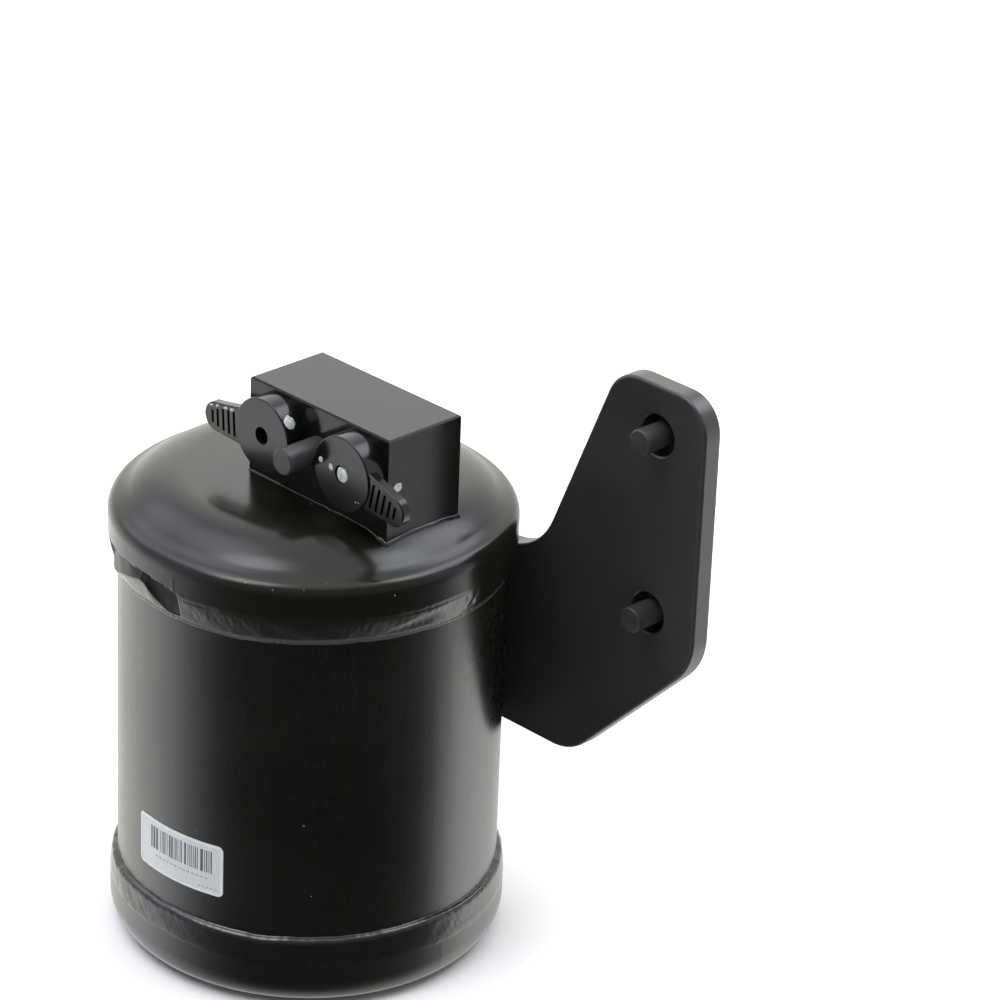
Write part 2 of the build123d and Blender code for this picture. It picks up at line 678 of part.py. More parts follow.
block_thread_plug.part.label = "block_thread_plug"
export_step(block_thread_plug.part, "parts/block_thread_plug.step")
outlet_port_cap.part.label = "outlet_port_cap"
export_step(outlet_port_cap.part, "parts/outlet_port_cap.step")
inlet_port_cap.part.label = "inlet_port_cap"
export_step(inlet_port_cap.part, "parts/inlet_port_cap.step")
tube_label.part.label = "tube_label"
export_step(tube_label.part, "parts/tube_label.step")
pickup_tube.part.label = "pickup_tube"
export_step(pickup_tube.part, "parts/pickup_tube.step")
pickup_strainer.part.label = "pickup_strainer"
export_step(pickup_strainer.part, "parts/pickup_strainer.step")
bed_support_ring.part.label = "bed_support_ring"
export_step(bed_support_ring.part, "parts/bed_support_ring.step")
lower_retainer_plate.part.label = "lower_retainer_plate"
export_step(lower_retainer_plate.part, "parts/lower_retainer_plate.step")
lower_filter_pad.part.label = "lower_filter_pad"
export_step(lower_filter_pad.part, "parts/lower_filter_pad.step")
desiccant_bed.part.label = "desiccant_bed"
export_step(desiccant_bed.part, "parts/desiccant_bed.step")
upper_filter_pad.part.label = "upper_filter_pad"
export_step(upper_filter_pad.part, "parts/upper_filter_pad.step")
upper_retainer_plate.part.label = "upper_retainer_plate"
export_step(upper_retainer_plate.part, "parts/upper_retainer_plate.step")
hold_down_spring.part.label = "hold_down_spring"
export_step(hold_down_spring.part, "parts/hold_down_spring.step")
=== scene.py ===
import math
import random

import bpy
import bmesh
from mathutils import Matrix, Vector


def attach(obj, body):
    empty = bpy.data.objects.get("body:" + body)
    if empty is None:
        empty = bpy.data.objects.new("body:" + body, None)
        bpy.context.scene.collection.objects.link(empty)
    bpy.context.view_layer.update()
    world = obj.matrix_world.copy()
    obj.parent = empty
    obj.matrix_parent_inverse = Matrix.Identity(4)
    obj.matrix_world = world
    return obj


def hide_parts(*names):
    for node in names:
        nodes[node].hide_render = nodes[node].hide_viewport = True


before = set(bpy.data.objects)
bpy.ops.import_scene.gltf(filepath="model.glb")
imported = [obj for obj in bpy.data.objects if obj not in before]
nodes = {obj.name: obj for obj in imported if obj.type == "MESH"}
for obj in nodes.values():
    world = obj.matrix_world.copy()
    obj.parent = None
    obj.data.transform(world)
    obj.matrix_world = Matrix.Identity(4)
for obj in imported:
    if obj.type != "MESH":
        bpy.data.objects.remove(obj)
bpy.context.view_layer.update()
MM = 0.001

# sizes that the looks share with the frame (mm)
TUBE_R = 50.8
LID_R = 53.3
BASE_R = 52.8


# ------------------------------------------------------------------ helpers
def v_noise(seed, n=96):
    """Smooth closed noise on a ring: returns f(angle) in about -1..1."""
    rnd = random.Random(seed)
    terms = []
    for k in range(1, n):
        a = 1.0 / (1 + 0.06 * k)
        terms.append((k, rnd.uniform(-1, 1) * a, rnd.uniform(0, 2 * math.pi)))
    norm = math.sqrt(sum(t[1] ** 2 for t in terms) / 2) or 1
    return lambda t: sum(a * math.sin(k * t + p) for k, a, p in terms) / (norm * 2.2)


def band_noise(seed, k0, k1):
    """Ring noise with waves k0 to k1 only."""
    rnd = random.Random(seed)
    terms = [(k, rnd.uniform(0.4, 1), rnd.uniform(0, 2 * math.pi)) for k in range(k0, k1)]
    norm = math.sqrt(sum(t[1] ** 2 for t in terms) / 2) or 1
    return lambda t: sum(a * math.sin(k * t + p) for k, a, p in terms) / (norm * 2.0)


def surf_noise(seed, k0, k1, m0, m1, count=14):
    """Noise over a ring surface: waves k0 to k1 round it, m0 to m1 radians a millimetre along Z."""
    rnd = random.Random(seed)
    terms = [(rnd.randint(k0, k1), rnd.choice((-1, 1)) * rnd.uniform(m0, m1), rnd.uniform(0, 2 * math.pi), rnd.uniform(0.5, 1))
             for _ in range(count)]
    norm = math.sqrt(sum(q[3] ** 2 for q in terms) / 2)
    return lambda t, z: sum(a * math.sin(k * t + m * z + p) for k, m, p, a in terms) / (norm * 2.0)


def smooth01(x):
    x = max(0.0, min(1.0, x))
    return x * x * (3 - 2 * x)


def mesh_object(name, verts, faces, mat, smooth=True, crease=50):
    me = bpy.data.meshes.new(name)
    me.from_pydata([Vector(v) * MM for v in verts], [], faces)
    me.update()
    bm = bmesh.new()
    bm.from_mesh(me)
    bmesh.ops.recalc_face_normals(bm, faces=bm.faces)
    bm.to_mesh(me)
    bm.free()
    for p in me.polygons:
        p.use_smooth = smooth
    if smooth:
        me.set_sharp_from_angle(angle=math.radians(crease))
    ob = bpy.data.objects.new(name, me)
    bpy.context.scene.collection.objects.link(ob)
    ob.data.materials.append(mat)
    return ob


def ring_piece(name, profile, segments, mat, crease=50):
    """A closed ring about Z. profile(t) gives the closed section [(r, z), ...] at angle t."""
    verts, faces = [], []
    count = None
    for i in range(segments):
        t = 2 * math.pi * i / segments
        sec = profile(t)
        count = len(sec)
        for r, z in sec:
            verts.append((r * math.cos(t), r * math.sin(t), z))
    for i in range(segments):
        j = (i + 1) % segments
        for a in range(count):
            b = (a + 1) % count
            faces.append((i * count + a, j * count + a, j * count + b, i * count + b))
    return mesh_object(name, verts, faces, mat, crease=crease)


def table(x, pts):
    """Straight-line interpolation in a list of (x, value)."""
    if x <= pts[0][0]:
        return pts[0][1]
    for (xa, va), (xb, vb) in zip(pts, pts[1:]):
        if x <= xb:
            return va + (vb - va) * (x - xa) / (xb - xa)
    return pts[-1][1]


def bell(x, mid, width):
    return math.exp(-(((x - mid) / width) ** 2))


def azimuth(deg):
    """Angle about Z of an azimuth counted from -Y towards +X."""
    return math.radians(deg - 90)


def ang_diff(a, b):
    return (a - b + math.pi) % (2 * math.pi) - math.pi


# ------------------------------------------------------------------ materials
class Nodes:
    def __init__(self, name):
        self.mat = bpy.data.materials.new(name)
        self.mat.use_nodes = True
        self.t = self.mat.node_tree
        self.t.nodes.clear()
        self.out = self.t.nodes.new("ShaderNodeOutputMaterial")
        self.bsdf = self.t.nodes.new("ShaderNodeBsdfPrincipled")
        self.link(self.bsdf.outputs["BSDF"], self.out.inputs["Surface"])
        self.coord = self.t.nodes.new("ShaderNodeTexCoord").outputs["Object"]

    def link(self, a, b):
        self.t.links.new(a, b)

    def new(self, kind, **props):
        n = self.t.nodes.new(kind)
        for k, v in props.items():
            setattr(n, k, v)
        return n

    def scaled(self, x, y, z):
        m = self.new("ShaderNodeMapping")
        m.inputs["Scale"].default_value = (x, y, z)
        self.link(self.coord, m.inputs["Vector"])
        return m.outputs["Vector"]

    def noise(self, scale, detail=2.0, rough=0.5, vector=None):
        n = self.new("ShaderNodeTexNoise")
        n.inputs["Scale"].default_value = scale
        n.inputs["Detail"].default_value = detail
        n.inputs["Roughness"].default_value = rough
        self.link(vector or self.coord, n.inputs["Vector"])
        return n.outputs["Fac"]

    def voronoi(self, scale, vector=None, feature="F1"):
        n = self.new("ShaderNodeTexVoronoi")
        n.feature = feature
        n.inputs["Scale"].default_value = scale
        self.link(vector or self.coord, n.inputs["Vector"])
        return n

    def ramp(self, fac, stops):
        n = self.new("ShaderNodeValToRGB")
        el = n.color_ramp.elements
        while len(el) > 1:
            el.remove(el[-1])
        el[0].position, el[0].color = stops[0][0], stops[0][1]
        for pos, col in stops[1:]:
            e = el.new(pos)
            e.color = col
        self.link(fac, n.inputs["Fac"])
        return n.outputs["Color"]

    def span(self, fac, lo, hi, out_lo, out_hi):
        n = self.new("ShaderNodeMapRange")
        n.inputs["From Min"].default_value = lo
        n.inputs["From Max"].default_value = hi
        n.inputs["To Min"].default_value = out_lo
        n.inputs["To Max"].default_value = out_hi
        self.link(fac, n.inputs["Value"])
        return n.outputs["Result"]

    def math(self, op, a, b=None):
        n = self.new("ShaderNodeMath", operation=op)
        for i, v in enumerate((a, b)):
            if v is None:
                continue
            if isinstance(v, (int, float)):
                n.inputs[i].default_value = v
            else:
                self.link(v, n.inputs[i])
        return n.outputs["Value"]

    def mix(self, fac, a, b):
        n = self.new("ShaderNodeMix", data_type="RGBA")
        if isinstance(fac, (int, float)):
            n.inputs[0].default_value = fac
        else:
            self.link(fac, n.inputs[0])
        for i, v in ((6, a), (7, b)):
            if isinstance(v, tuple):
                n.inputs[i].default_value = (*v, 1) if len(v) == 3 else v
            else:
                self.link(v, n.inputs[i])
        return n.outputs[2]

    def bump(self, height, strength, distance, normal=None):
        n = self.new("ShaderNodeBump")
        n.inputs["Strength"].default_value = strength
        n.inputs["Distance"].default_value = distance
        self.link(height, n.inputs["Height"])
        if normal is not None:
            self.link(normal, n.inputs["Normal"])
        return n.outputs["Normal"]


def g(v):
    return (v, v, v, 1)


def satin_paint(name, dark, light, rough, peel=0.10, streak=0.0, grain=0.04, dust=0.0, ior=1.56):
    """Black satin paint on steel: faint mottling, orange peel, fine grit, a little dust."""
    m = Nodes(name)
    m.bsdf.inputs["IOR"].default_value = ior
    mott = m.noise(26.0, 4.0, 0.55)
    base = m.ramp(mott, [(0.30, (*dark, 1)), (0.72, (*light, 1))])
    fine = m.noise(420.0, 3.0, 0.6)
    r = m.span(mott, 0.3, 0.7, rough - 0.025, rough + 0.03)
    r = m.math("ADD", r, m.span(fine, 0.3, 0.7, -0.012, 0.018))
    if streak:
        s = m.noise(1.0, 3.0, 0.55, vector=m.scaled(260, 260, 9))
        r = m.math("ADD", r, m.span(s, 0.35, 0.65, -streak, streak))
    if dust:
        vo = m.voronoi(150.0)
        spot = m.math("LESS_THAN", vo.outputs["Distance"], dust)
        gate = m.math("GREATER_THAN", m.noise(55.0, 1.0), 0.60)
        spot = m.math("MULTIPLY", spot, gate)
        base = m.mix(spot, base, (0.16, 0.16, 0.155))
        r = m.math("ADD", r, m.math("MULTIPLY", spot, 0.25))
    m.link(base, m.bsdf.inputs["Base Color"])
    m.link(r, m.bsdf.inputs["Roughness"])
    peel_h = m.noise(520.0, 2.0, 0.45)
    n1 = m.bump(peel_h, peel, 0.00012)
    grit = m.noise(2600.0, 2.0, 0.6)
    n2 = m.bump(grit, grain, 0.00005, n1)
    m.link(n2, m.bsdf.inputs["Normal"])
    return m.mat


PAINT_DARK, PAINT_LIGHT = (0.0050, 0.0046, 0.0032), (0.0078, 0.0073, 0.0054)
tube_paint = satin_paint("tube_paint", PAINT_DARK, PAINT_LIGHT, 0.27, peel=0.07, streak=0.02, dust=0.03)
lid_paint = satin_paint("lid_paint", PAINT_DARK, PAINT_LIGHT, 0.20, peel=0.05, dust=0.03, ior=1.43)
base_paint = satin_paint("base_paint", PAINT_DARK, PAINT_LIGHT, 0.30, peel=0.14, dust=0.04)
block_paint = satin_paint("block_paint", (0.0045, 0.0042, 0.0034), (0.0070, 0.0067, 0.0058), 0.14, ior=1.39, peel=0.02, grain=0.03, dust=0.03)
bracket_paint = satin_paint("bracket_paint", (0.023, 0.0215, 0.019), (0.030, 0.0285, 0.0255), 0.33, peel=0.10, dust=0.03)
nut_paint = satin_paint("nut_paint", (0.026, 0.025, 0.023), (0.036, 0.035, 0.033), 0.38, peel=0.10, grain=0.06)
# painted shade: darker, less reflective black for the open gap under the skirt's edge, standing in for the shade in
# that recess
gap_painted_shade = satin_paint("gap_painted_shade", (0.0034, 0.0031, 0.0026), (0.0056, 0.0053, 0.0044), 0.33, peel=0.05, ior=1.26)
# painted highlight: paler, more reflective black for the weld's toe band, standing in for its bright lines
toe_painted_highlight = satin_paint("toe_painted_highlight", (0.038, 0.035, 0.031), (0.056, 0.052, 0.047), 0.26, peel=0.05, ior=1.75)
weld_paint = satin_paint("weld_paint", (0.0050, 0.0047, 0.0036), (0.0082, 0.0078, 0.0064), 0.20, peel=0.06, grain=0.08, dust=0.03)


def moulded_plastic(name, dark, light, rough, texture=0.10):
    """Black moulded plastic: very fine texture, flow marks, faint handling marks."""
    m = Nodes(name)
    m.bsdf.inputs["IOR"].default_value = 1.44
    flow = m.noise(60.0, 3.0, 0.6, vector=m.scaled(1, 1, 2.2))
    base = m.ramp(flow, [(0.32, (*dark, 1)), (0.75, (*light, 1))])
    m.link(base, m.bsdf.inputs["Base Color"])
    rub = m.noise(240.0, 3.0, 0.6)
    r = m.math("ADD", m.span(flow, 0.3, 0.7, rough - 0.04, rough + 0.05), m.span(rub, 0.3, 0.7, -0.03, 0.03))
    m.link(r, m.bsdf.inputs["Roughness"])
    tex = m.noise(3400.0, 2.0, 0.5)
    n1 = m.bump(tex, texture, 0.00006)
    wave = m.noise(180.0, 2.0, 0.5)
    m.link(m.bump(wave, 0.06, 0.0002, n1), m.bsdf.inputs["Normal"])
    return m.mat


cap_plastic = moulded_plastic("cap_plastic", (0.0040, 0.0039, 0.0038), (0.0075, 0.0074, 0.0073), 0.17)
plug_plastic = moulded_plastic("plug_plastic", (0.020, 0.020, 0.0205), (0.038, 0.038, 0.038), 0.44, 0.14)


def bare_steel(name, tint, rough, vector_scale):
    m = Nodes(name)
    m.bsdf.inputs["Metallic"].default_value = 1.0
    s = m.noise(1.0, 4.0, 0.6, vector=m.scaled(*vector_scale))
    base = m.ramp(s, [(0.3, (tint[0] * 0.8, tint[1] * 0.8, tint[2] * 0.8, 1)), (0.7, (*tint, 1))])
    m.link(base, m.bsdf.inputs["Base Color"])
    m.link(m.span(s, 0.3, 0.7, rough - 0.06, rough + 0.06), m.bsdf.inputs["Roughness"])
    m.link(m.bump(s, 0.15, 0.00005), m.bsdf.inputs["Normal"])
    return m.mat


tube_steel = bare_steel("tube_steel", (0.55, 0.55, 0.56), 0.36, (700, 700, 12))
plate_steel = bare_steel("plate_steel", (0.50, 0.50, 0.50), 0.40, (30, 900, 900))
spring_steel = bare_steel("spring_steel", (0.36, 0.36, 0.37), 0.32, (900, 900, 900))


def felt(name):
    m = Nodes(name)
    f = m.noise(900.0, 5.0, 0.7)
    m.link(m.ramp(f, [(0.3, (0.52, 0.50, 0.44, 1)), (0.7, (0.74, 0.72, 0.66, 1))]), m.bsdf.inputs["Base Color"])
    m.bsdf.inputs["Roughness"].default_value = 0.9
    m.bsdf.inputs["Sheen Weight"].default_value = 0.3
    m.link(m.bump(f, 0.7, 0.0004), m.bsdf.inputs["Normal"])
    return m.mat


def beads(name):
    m = Nodes(name)
    vo = m.voronoi(420.0)
    # painted shade: each bead fades from its tan middle to dark near its edge and near black where beads meet, standing
    # in for the shade between them
    m.link(
        m.ramp(vo.outputs["Distance"], [(0.0, (0.72, 0.60, 0.44, 1)), (0.55, (0.50, 0.40, 0.28, 1)), (0.8, (0.10, 0.08, 0.06, 1))]),
        m.bsdf.inputs["Base Color"],
    )
    m.bsdf.inputs["Roughness"].default_value = 0.7
    inv = m.math("SUBTRACT", 1.0, vo.outputs["Distance"])
    m.link(m.bump(inv, 0.9, 0.0009), m.bsdf.inputs["Normal"])
    return m.mat


def label_stock(name):
    """Coated label paper: pale grey, faint fibre, slightly satin."""
    m = Nodes(name)
    f = m.noise(1500.0, 4.0, 0.65)
    soft = m.noise(90.0, 2.0)
    col = m.ramp(f, [(0.3, (0.42, 0.43, 0.43, 1)), (0.7, (0.50, 0.51, 0.51, 1))])
    col = m.mix(m.span(soft, 0.35, 0.65, 0.0, 0.18), col, (0.38, 0.39, 0.39))
    m.link(col, m.bsdf.inputs["Base Color"])
    m.link(m.span(soft, 0.3, 0.7, 0.38, 0.50), m.bsdf.inputs["Roughness"])
    m.link(m.bump(f, 0.08, 0.00005), m.bsdf.inputs["Normal"])
    return m.mat


def ink(name, dark, light):
    m = Nodes(name)
    f = m.noise(2200.0, 3.0, 0.7)
    m.link(m.ramp(f, [(0.35, (*dark, 1)), (0.75, (*light, 1))]), m.bsdf.inputs["Base Color"])
    m.bsdf.inputs["Roughness"].default_value = 0.5
    return m.mat


def dab_paint(name):
    """Dried spots of pale paint."""
    m = Nodes(name)
    f = m.noise(1300.0, 3.0, 0.6)
    m.link(m.ramp(f, [(0.3, (0.26, 0.28, 0.275, 1)), (0.7, (0.52, 0.54, 0.53, 1))]), m.bsdf.inputs["Base Color"])
    m.link(m.span(f, 0.3, 0.7, 0.35, 0.6), m.bsdf.inputs["Roughness"])
    m.link(m.bump(f, 0.5, 0.0002), m.bsdf.inputs["Normal"])
    return m.mat


felt_mat, bead_mat, label_mat = felt("filter_felt"), beads("drying_beads"), label_stock("label_stock")
ink_mat, dab_mat = ink("bar_ink", (0.045, 0.045, 0.05), (0.11, 0.11, 0.115)), dab_paint("pale_paint")
faint_ink = ink("faint_ink", (0.22, 0.22, 0.22), (0.34, 0.34, 0.34))
rim_mat = ink("label_rim", (0.52, 0.53, 0.54), (0.60, 0.61, 0.62))


def finish_node(node, mat, smooth=None):
    ob = nodes[node]
    if not ob.material_slots:
        ob.data.materials.append(mat)
    for s in ob.material_slots:
        s.material = mat


for node, mat in {
    "tank_tube": tube_paint,
    "top_cap": lid_paint,
    "bottom_cap": base_paint,
    "top_seam_weld": weld_paint,
    "bottom_seam_weld": weld_paint,
    "port_block": block_paint,
    "port_block_weld": weld_paint,
    "mounting_bracket": bracket_paint,
    "bracket_corner_weld": bracket_paint,
    "bracket_edge_welds": weld_paint,
    "bracket_weld_nuts": nut_paint,
    "bracket_thread_plugs": plug_plastic,
    "block_thread_plug": plug_plastic,
    "outlet_port_cap": cap_plastic,
    "inlet_port_cap": cap_plastic,
    "tube_label": label_mat,
    "pickup_tube": tube_steel,
    "pickup_strainer": plate_steel,
    "bed_support_ring": plate_steel,
    "lower_retainer_plate": plate_steel,
    "lower_filter_pad": felt_mat,
    "desiccant_bed": bead_mat,
    "upper_filter_pad": felt_mat,
    "upper_retainer_plate": plate_steel,
    "hold_down_spring": spring_steel,
}.items():
    finish_node(node, mat)

# ------------------------------------------------------------------ lid and its seam
def degrees_at(t):
    """Azimuth from -Y towards +X, -180..180, of the angle t about Z."""
    return (math.degrees(t) + 90 + 180) % 360 - 180


TOE = [(-180, 105.7), (-60, 105.4), (-31, 104.6), (-21, 105.3), (-14, 105.6), (-7, 106.0), (2, 105.9), (14, 105.9),
       (25, 105.6), (38, 105.9), (54, 106.2), (77, 106.3), (93, 106.1), (110, 105.8), (180, 105.7)]
UPPER = [(-180, 113.9), (-40, 114.2), (-22, 114.7), (-16, 115.2), (-6, 115.7), (2, 115.1), (5.6, 114.5), (7.6, 114.0),
         (21, 114.2), (50, 113.9), (78, 114.2), (90, 114.6), (101, 113.8), (120, 113.9), (180, 113.9)]
ARCH_Z = [(-40, 105.6), (-31, 105.9), (-26, 107.2), (-22, 108.8), (-13.4, 111.3), (-8.8, 112.5), (-6.6, 112.1),
          (-4.2, 110.3), (-0.7, 108.2), (1.7, 107.1), (7.5, 106.8)]
CREST_R = [(-40, 51.8), (-33, 52.1), (-22, 52.4), (-13.4, 52.7), (-8.8, 52.75), (-6, 52.6), (-3.5, 52.1), (-1.2, 51.6), (1.2, 51.2), (4, 50.95)]
SCOOP_Z = [(66, 107.0), (70, 109.6), (75.5, 111.0), (81.5, 112.1), (90.3, 113.3), (98, 112.0), (102, 110.2), (105, 107.5)]
seam_wave = band_noise(11, 14, 60)
seam_fine = band_noise(12, 60, 190)
seam_skin = surf_noise(13, 10, 46, 0.2, 0.9)
seam_grit = surf_noise(14, 60, 190, 0.8, 2.6)
SKIRT_Z = 113.2
# the toe: a thin band with a groove in it, as height over its lower edge and radius (the band's lighter look comes from
# a painted highlight coat)
TOE_EDGE = [(-0.08, 50.79), (-0.03, 50.98), (0.05, 51.10), (0.30, 51.12), (0.55, 51.08), (0.64, 50.98), (0.72, 50.98),
            (0.80, 51.12), (0.95, 51.18), (1.20, 51.18), (1.45, 51.30)]
TOE_STEPS = (-0.08, -0.03, 0.05, 0.17, 0.30, 0.42, 0.55, 0.60, 0.64, 0.68, 0.72, 0.76, 0.80, 0.87, 0.95, 1.08, 1.20, 1.32, 1.45)


def seam_r(az, z, t):
    """Outer radius of the lid's skirt and of its seam."""
    toe = table(az, TOE) + 0.10 * seam_wave(t)
    up = table(az, UPPER) + 0.12 * seam_fine(t + 1)
    body = 53.3
    # plain run of the weld: fills the corner between the skirt and the tube
    if z < up:
        f = min(1.0, (up - z) / (up - toe - 1.0))
        body = 53.3 - 0.05 * smooth01((up - z) / 0.4) - 1.95 * f ** 1.35
        body += (0.075 * seam_skin(t, z) + 0.025 * seam_grit(t, z)) * math.sin(math.pi * min(1, f)) ** 0.7
    # the thin line where the weld laps onto the skirt
    line = max(bell(az, 12, 7) if az > 7.6 else 0.0, 0.9 * bell(az, 84, 10), 0.22)
    body += line * (0.07 * bell(z, up, 0.28) - 0.16 * bell(z, up - 0.75, 0.42))
    # shallow scoop at the far end of the run
    scoop = smooth01((az - 66) / 10) * (1 - smooth01((az - 88) / 12))
    if scoop > 0:
        top = table(az, SCOOP_Z)
        if toe + 1.0 < z < top:
            h = (z - toe - 1.0) / max(0.5, top - toe - 1.0)
            body -= scoop * 0.30 * math.sin(math.pi * h ** 1.5)
    # where the weld stops: the skirt's edge stays open above a low, uneven fill
    inside = smooth01((az + 37) / 3.5) * (1 - smooth01((az - 6.9) / 0.8))
    if inside > 0:
        az_c = max(-40.0, min(7.5, az))
        za = table(az_c, ARCH_Z)
        crest = table(az_c, CREST_R)
        lip = up + 0.15
        shelf = lip - 0.45
        if z >= lip:
            low = 53.3
        elif z >= shelf:
            low = 50.95 + (53.3 - 50.95) * smooth01((z - shelf) / (lip - shelf)) ** 1.5
        elif z >= za:
            g = (z - za) / (shelf - za)
            low = 50.95 + (crest - 50.95) * (1 - g)
            low += 0.05 * seam_skin(t, z) * math.sin(math.pi * g)
        else:
            g = (za - z) / max(0.4, za - toe - 1.0)
            low = crest + (51.3 - crest) * min(1.0, g) ** 1.3
            low += 0.09 * seam_skin(t, z * 1.4) * math.sin(math.pi * min(1.0, g))
        body = body + (low - body) * inside
    # nick above the stop
    body += 0.07 * bell(az, 6.0, 0.4) * smooth01((z - 114.4) / 0.6) * smooth01((119.2 - z) / 1.2)
    # raised double line at the toe, on the tube
    d = z - toe
    if d < 1.45:
        edge = table(d, TOE_EDGE) + 0.03 * seam_fine(t) * smooth01(d / 0.3)
        body = edge + (body - edge) * smooth01((d - 1.15) / 0.3)
    return min(53.385, max(50.78, body))


def seam_section(t):
    az = degrees_at(t)
    toe = table(az, TOE)
    toe += 0.10 * seam_wave(t)
    zs = [toe + d for d in TOE_STEPS]
    z1 = zs[-1]
    zs += [z1 + (SKIRT_Z - z1) * k / 27 for k in range(1, 28)]
    sec = [(seam_r(az, z, t), z) for z in zs]
    return [(50.45, zs[0])] + sec + [(50.9, SKIRT_Z), (50.45, SKIRT_Z - 1)]


top_seam = ring_piece("top_seam_bead", seam_section, 1100, weld_paint, crease=80)
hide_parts("top_seam_weld")
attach(top_seam, "root")

LID = dict(r=53.3, t=2.5, rim=111.0, corner=3.9, corner_z=119.75, slope=22.0, step=40.0, flat=33.0, top=130.6, roll=22.5)


def lid_curve(t, start):
    """Outer section of the lid, t inside its outer face, from the given height to the middle."""
    a, b = math.radians(LID["slope"]), math.radians(LID["step"])
    cx, cz = LID["r"] - LID["corner"], LID["corner_z"]
    p2 = (cx + LID["corner"] * math.sin(a), cz + LID["corner"] * math.cos(a))
    tx, tz = LID["flat"], LID["top"] - LID["roll"]
    p4 = (tx + LID["roll"] * math.sin(b), tz + LID["roll"] * math.cos(b))
    dr, dz = p2[0] - p4[0], p4[1] - p2[1]
    m11, m12, m21, m22 = math.cos(a), math.sin(b) - math.sin(a), math.sin(a), math.cos(a) - math.cos(b)
    det = m11 * m22 - m12 * m21
    s = (dr * m22 - m12 * dz) / det
    q = (m11 * dz - m21 * dr) / det
    hx = p2[0] - s * math.cos(a) + q * math.sin(a)
    hz = p2[1] + s * math.sin(a) + q * math.cos(a)
    pts = []
    n = 14
    for k in range(n):
        pts.append((LID["r"] - t, start + (cz - start) * k / n))
    for k in range(13):
        g = math.radians(90) + (a - math.radians(90)) * k / 12
        pts.append((cx + (LID["corner"] - t) * math.sin(g), cz + (LID["corner"] - t) * math.cos(g)))
    for k in range(1, 15):
        g = a + (b - a) * k / 14
        pts.append((hx - (q + t) * math.sin(g), hz - (q + t) * math.cos(g)))
    for k in range(1, 19):
        g = b * (1 - k / 18)
        pts.append((tx + (LID["roll"] - t) * math.sin(g), tz + (LID["roll"] - t) * math.cos(g)))
    return pts


def lathe_solid(name, outer, inner, segments, mat, move=None):
    """Closed shell of revolution. outer and inner run from the rim to the middle."""
    verts, faces = [], []
    loop = outer + inner[::-1]
    m = len(loop)
    for i in range(segments):
        t = 2 * math.pi * i / segments
        for k, (r, z) in enumerate(loop):
            if move and k < len(outer):
                r = move(r, z, t)
            verts.append((r * math.cos(t), r * math.sin(t), z))
    for i in range(segments):
        j = (i + 1) % segments
        for k in range(m):
            if k == len(outer) - 1:
                continue
            b = (k + 1) % m
            faces.append((i * m + k, j * m + k, j * m + b, i * m + b))
    top, low = len(outer) - 1, len(outer)
    for row in (top, low):
        c = len(verts)
        verts.append((0, 0, loop[row][1]))
        for i in range(segments):
            j = (i + 1) % segments
            faces.append((i * m + row, j * m + row, c))
    return mesh_object(name, verts, faces, mat, crease=40)


def skirt(r, z, t):
    if z > 119.3 or r < 53.2:
        return r
    return seam_r(degrees_at(t), z, t)


inner_curve = lid_curve(2.3, SKIRT_Z)
inner_curve = inner_curve[:-1:2] + inner_curve[-1:]


def paint_gap_shade(ob):
    """Painted shade: the open stretch under the skirt's edge gets a darker, less reflective coat that stands in for the
    shade in that recess.
    """
    ob.data.materials.append(gap_painted_shade)
    for p in ob.data.polygons:
        x, y, z = p.center / MM
        az = degrees_at(math.atan2(y, x))
        if -37 < az < 6.7 and 50.9 < math.hypot(x, y) < 53.2:
            if table(az, ARCH_Z) + 0.05 < z < table(az, UPPER) + 0.2:
                p.material_index = len(ob.data.materials) - 1


lid = lathe_solid("pressed_lid", lid_curve(0, SKIRT_Z), inner_curve, 900, lid_paint, skirt)
# the two drillings under the block
for k, x in enumerate((0.0003, 0.0301)):
    bm = bmesh.new()
    bmesh.ops.create_cone(bm, cap_ends=True, segments=64, radius1=0.00475, radius2=0.00475, depth=0.012,
                          matrix=Matrix.Translation((x, -0.0007, 0.1300)))
    cut_mesh = bpy.data.meshes.new("cut")
    bm.to_mesh(cut_mesh)
    bm.free()
    cutter = bpy.data.objects.new("cut", cut_mesh)
    bpy.context.scene.collection.objects.link(cutter)
    mod = lid.modifiers.new("drill", "BOOLEAN")
    mod.operation, mod.solver, mod.object = "DIFFERENCE", "EXACT", cutter
    bpy.context.view_layer.update()
    got = bpy.data.meshes.new_from_object(lid.evaluated_get(bpy.context.evaluated_depsgraph_get()))
    lid.modifiers.clear()
    lid.data = got
    bpy.data.objects.remove(cutter)
# painted shade on the open gap under the skirt's edge, on the lid and on the seam
paint_gap_shade(lid)
paint_gap_shade(top_seam)
# painted highlight: a paler, more reflective coat on the toe band stands in for the bright lines where light catches
# the toe
top_seam.data.materials.append(toe_painted_highlight)
for p in top_seam.data.polygons:
    x, y, z = p.center / MM
    t = math.atan2(y, x)
    d = z - table(degrees_at(t), TOE) - 0.10 * seam_wave(t)
    if -0.03 < d < 1.2 and math.hypot(x, y) > 50.7:
        p.material_index = 2
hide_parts("top_cap")
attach(lid, "root")

# ------------------------------------------------------------------ body tube
roll_marks = band_noise(41, 18, 90)
roll_wide = band_noise(42, 3, 11)


def tube_section(t):
    """Closed wall of the tube; the outside carries the faint lengthwise marks left by rolling."""
    rows = []
    for k in range(25):
        z = TUBE_Z0 + (TUBE_Z1 - TUBE_Z0) * k / 24
        rows.append((50.79 + 0.003 * roll_marks(t) + 0.005 * roll_wide(t), z))
    return [(TUBE_IN, TUBE_Z0)] + rows + [(TUBE_IN, TUBE_Z1)]


TUBE_Z0, TUBE_Z1, TUBE_IN = 8.5, 118.0, 48.8
tube = ring_piece("rolled_tube", tube_section, 1440, tube_paint)
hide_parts("tank_tube")
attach(tube, "root")

